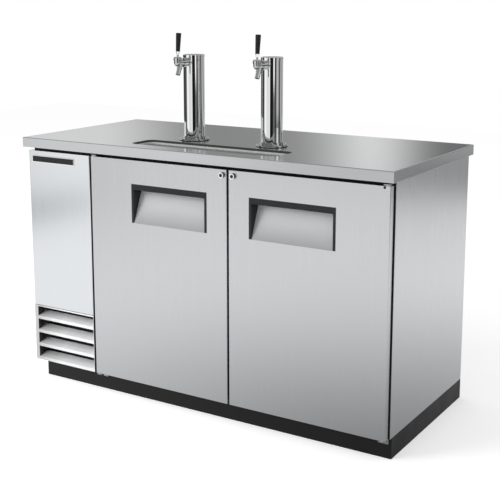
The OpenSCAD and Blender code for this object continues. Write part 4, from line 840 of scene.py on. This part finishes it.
class DISPENSER_OT_stage(Operator):
    """Set up the floor, the light and the camera"""
    bl_idname = "dispenser.stage"
    bl_label = "Studio"

    def execute(self, context):
        stage = context.scene.dispenser_stage
        context.scene.view_settings.view_transform = "Standard"
        self.sky(context, stage)
        self.floor(stage)
        self.tent(stage)
        self.lamp(context, "key_lamp", stage.key_power, *KEY_LAMP)
        self.lamp(context, "fill_lamp", stage.fill_power, *FILL_LAMP)
        self.camera(context, stage)
        return {"FINISHED"}

    def sky(self, context, stage):
        """White where a camera, mirror or glass looks at it; a plain even light for the rest."""
        world = bpy.data.worlds.new("Studio sky")
        tree = empty_tree(world)
        path = add(tree, "LightPath").outputs
        seen = joined(tree, path["Is Camera Ray"], path["Is Glossy Ray"], "MAXIMUM")
        seen = joined(tree, seen, path["Is Transmission Ray"], "MAXIMUM")
        level = spread(tree, seen, stage.sky_light, 1.0, start=0.0, end=1.0)
        shine = add(tree, "Background", Color=WHITE, Strength=level)
        show(tree, shine.outputs[0], "OutputWorld")
        context.scene.world = world

    def floor(self, stage):
        """A flat sheet, topped up to white for the camera, and shaded near the base for mirrors."""
        mat = bpy.data.materials.new("Studio floor")
        tree = empty_tree(mat)
        path = add(tree, "LightPath").outputs
        where = add(tree, "TexCoord").outputs["Object"]
        away = add(tree, "VectorMath", Vector=where)
        away.operation = "DISTANCE"
        away.inputs[1].default_value = SHADE_MIDDLE
        near = soft_step(tree, away.outputs["Value"], *SHADE_REACH, SHADE_TONE, 1.0)
        card = soft_step(tree, coordinate(tree, "Object", "X"), *CARD_EDGE, CARD_TONE, 1.0)
        lit = add(tree, "BsdfDiffuse", Color=(FLOOR_TONE, FLOOR_TONE, FLOOR_TONE, 1))
        both = tree.nodes.new("ShaderNodeAddShader")
        attach(tree, both.inputs[0], lit.outputs[0])
        attach(tree, both.inputs[1], glow(tree, times(tree, path["Is Camera Ray"], stage.floor_top_up)))
        pick = tree.nodes.new("ShaderNodeMixShader")
        attach(tree, pick.inputs[0], path["Is Glossy Ray"])
        attach(tree, pick.inputs[1], both.outputs[0])
        attach(tree, pick.inputs[2], glow(tree, times(tree, near, card)))
        show(tree, pick.outputs[0])
        half = stage.floor_size / 2
        corners = half * np.array([(-1, -1, 0), (1, -1, 0), (1, 1, 0), (-1, 1, 0)])
        stage_piece("studio_floor", corners, [(0, 1, 2, 3)], mat)

    def tent(self, stage):
        """A ring of pale cloth with grey bands and a grey disc over it, which only mirrors see."""
        _, circle = unit_circle(TENT_POINTS)
        foot = at_height(stage.tent_radius * circle, TENT_FOOT)
        top = at_height(stage.tent_radius * circle, stage.tent_height)
        cloth = bpy.data.materials.new("Studio tent")
        tree = empty_tree(cloth)
        show(tree, glow(tree, self.banded(tree)))
        ring = stage_piece("studio_tent", np.concatenate([top, foot]), ring_faces(2, TENT_POINTS), cloth)
        only_mirrors_see(ring)
        grey = bpy.data.materials.new("Studio roof")
        tree = empty_tree(grey)
        show(tree, glow(tree, stage.roof_tone))
        disc = stage_piece("studio_roof", top, [list(range(TENT_POINTS))[::-1]], grey)
        only_mirrors_see(disc)

    def banded(self, tree):
        """White times 1 less each soft grey band, which lies between two angles and between two heights."""
        split = add(tree, "SeparateXYZ", Vector=add(tree, "TexCoord").outputs["Object"]).outputs
        turn = joined(tree, split["X"], times(tree, split["Y"], -1.0), "ARCTAN2")
        turn = times(tree, turn, 180 / math.pi)
        left = 1.0
        for start, end, soft, depth, low, high in TENT_BANDS:
            rise = soft_step(tree, turn, start - soft, start + soft, 0, depth)
            fall = soft_step(tree, turn, end - soft, end + soft, 1, 0)
            over = soft_step(tree, split["Z"], low - BAND_BLUR, low + BAND_BLUR, 0, 1)
            under = soft_step(tree, split["Z"], high - BAND_BLUR, high + BAND_BLUR, 1, 0)
            band = times(tree, times(tree, rise, fall), times(tree, over, under))
            left = times(tree, left, joined(tree, 1.0, band, "SUBTRACT"))
        return left

    def lamp(self, context, name, power, size, place, turn):
        """One large soft lamp that mirrors don't see."""
        data = bpy.data.lights.new(name, "AREA")
        data.shape = "DISK"
        data.size = size
        data.energy = power
        lamp = bpy.data.objects.new(name, data)
        lamp.location = place
        lamp.rotation_euler = [math.radians(degrees) for degrees in turn]
        lamp.visible_glossy = False
        context.scene.collection.objects.link(lamp)

    def camera(self, context, stage):
        """A camera that looks down a little from the front right, with its frame shifted to match."""
        data = bpy.data.cameras.new("camera")
        data.lens = stage.camera_lens
        data.sensor_width = SENSOR_WIDTH
        data.shift_y = stage.camera_shift
        eye = bpy.data.objects.new("camera", data)
        eye.location = stage.camera_place
        eye.rotation_euler = (math.pi / 2 - stage.camera_pitch, 0, stage.camera_yaw)
        context.scene.collection.objects.link(eye)
        context.scene.camera = eye


class DISPENSER_PT_looks(Panel):
    """Lists the dispenser's pieces, finishes and settings"""
    bl_idname = "DISPENSER_PT_looks"
    bl_label = "Beer dispenser"
    bl_space_type = "VIEW_3D"
    bl_region_type = "UI"
    bl_category = "Dispenser"

    def draw(self, context):
        for operator in OPERATORS:
            self.layout.operator(operator.bl_idname)
        for name, group in SETTINGS.items():
            for key in group.__annotations__:
                self.layout.prop(getattr(context.scene, name), key)


SETTINGS = {
    "dispenser_finishes": DispenserFinishes,
    "dispenser_trim": DispenserTrim,
    "dispenser_stage": DispenserStage,
}
OPERATORS = (DISPENSER_OT_stage, DISPENSER_OT_steel, DISPENSER_OT_chrome, DISPENSER_OT_plastics,
             DISPENSER_OT_cooling, DISPENSER_OT_plate, DISPENSER_OT_screws)
CLASSES = (*SETTINGS.values(), *OPERATORS, DISPENSER_PT_looks)


def register():
    """Registers the classes and hangs their settings on the scene."""
    for cls in CLASSES:
        bpy.utils.register_class(cls)
    for name, group in SETTINGS.items():
        setattr(bpy.types.Scene, name, PointerProperty(type=group))


def unregister():
    """Undoes register."""
    for name in SETTINGS:
        delattr(bpy.types.Scene, name)
    for cls in reversed(CLASSES):
        bpy.utils.unregister_class(cls)


def main():
    """Makes everything in order."""
    register()
    for operator in OPERATORS:
        group, name = operator.bl_idname.split(".")
        getattr(getattr(bpy.ops, group), name)()


if __name__ == "__main__":
    main()
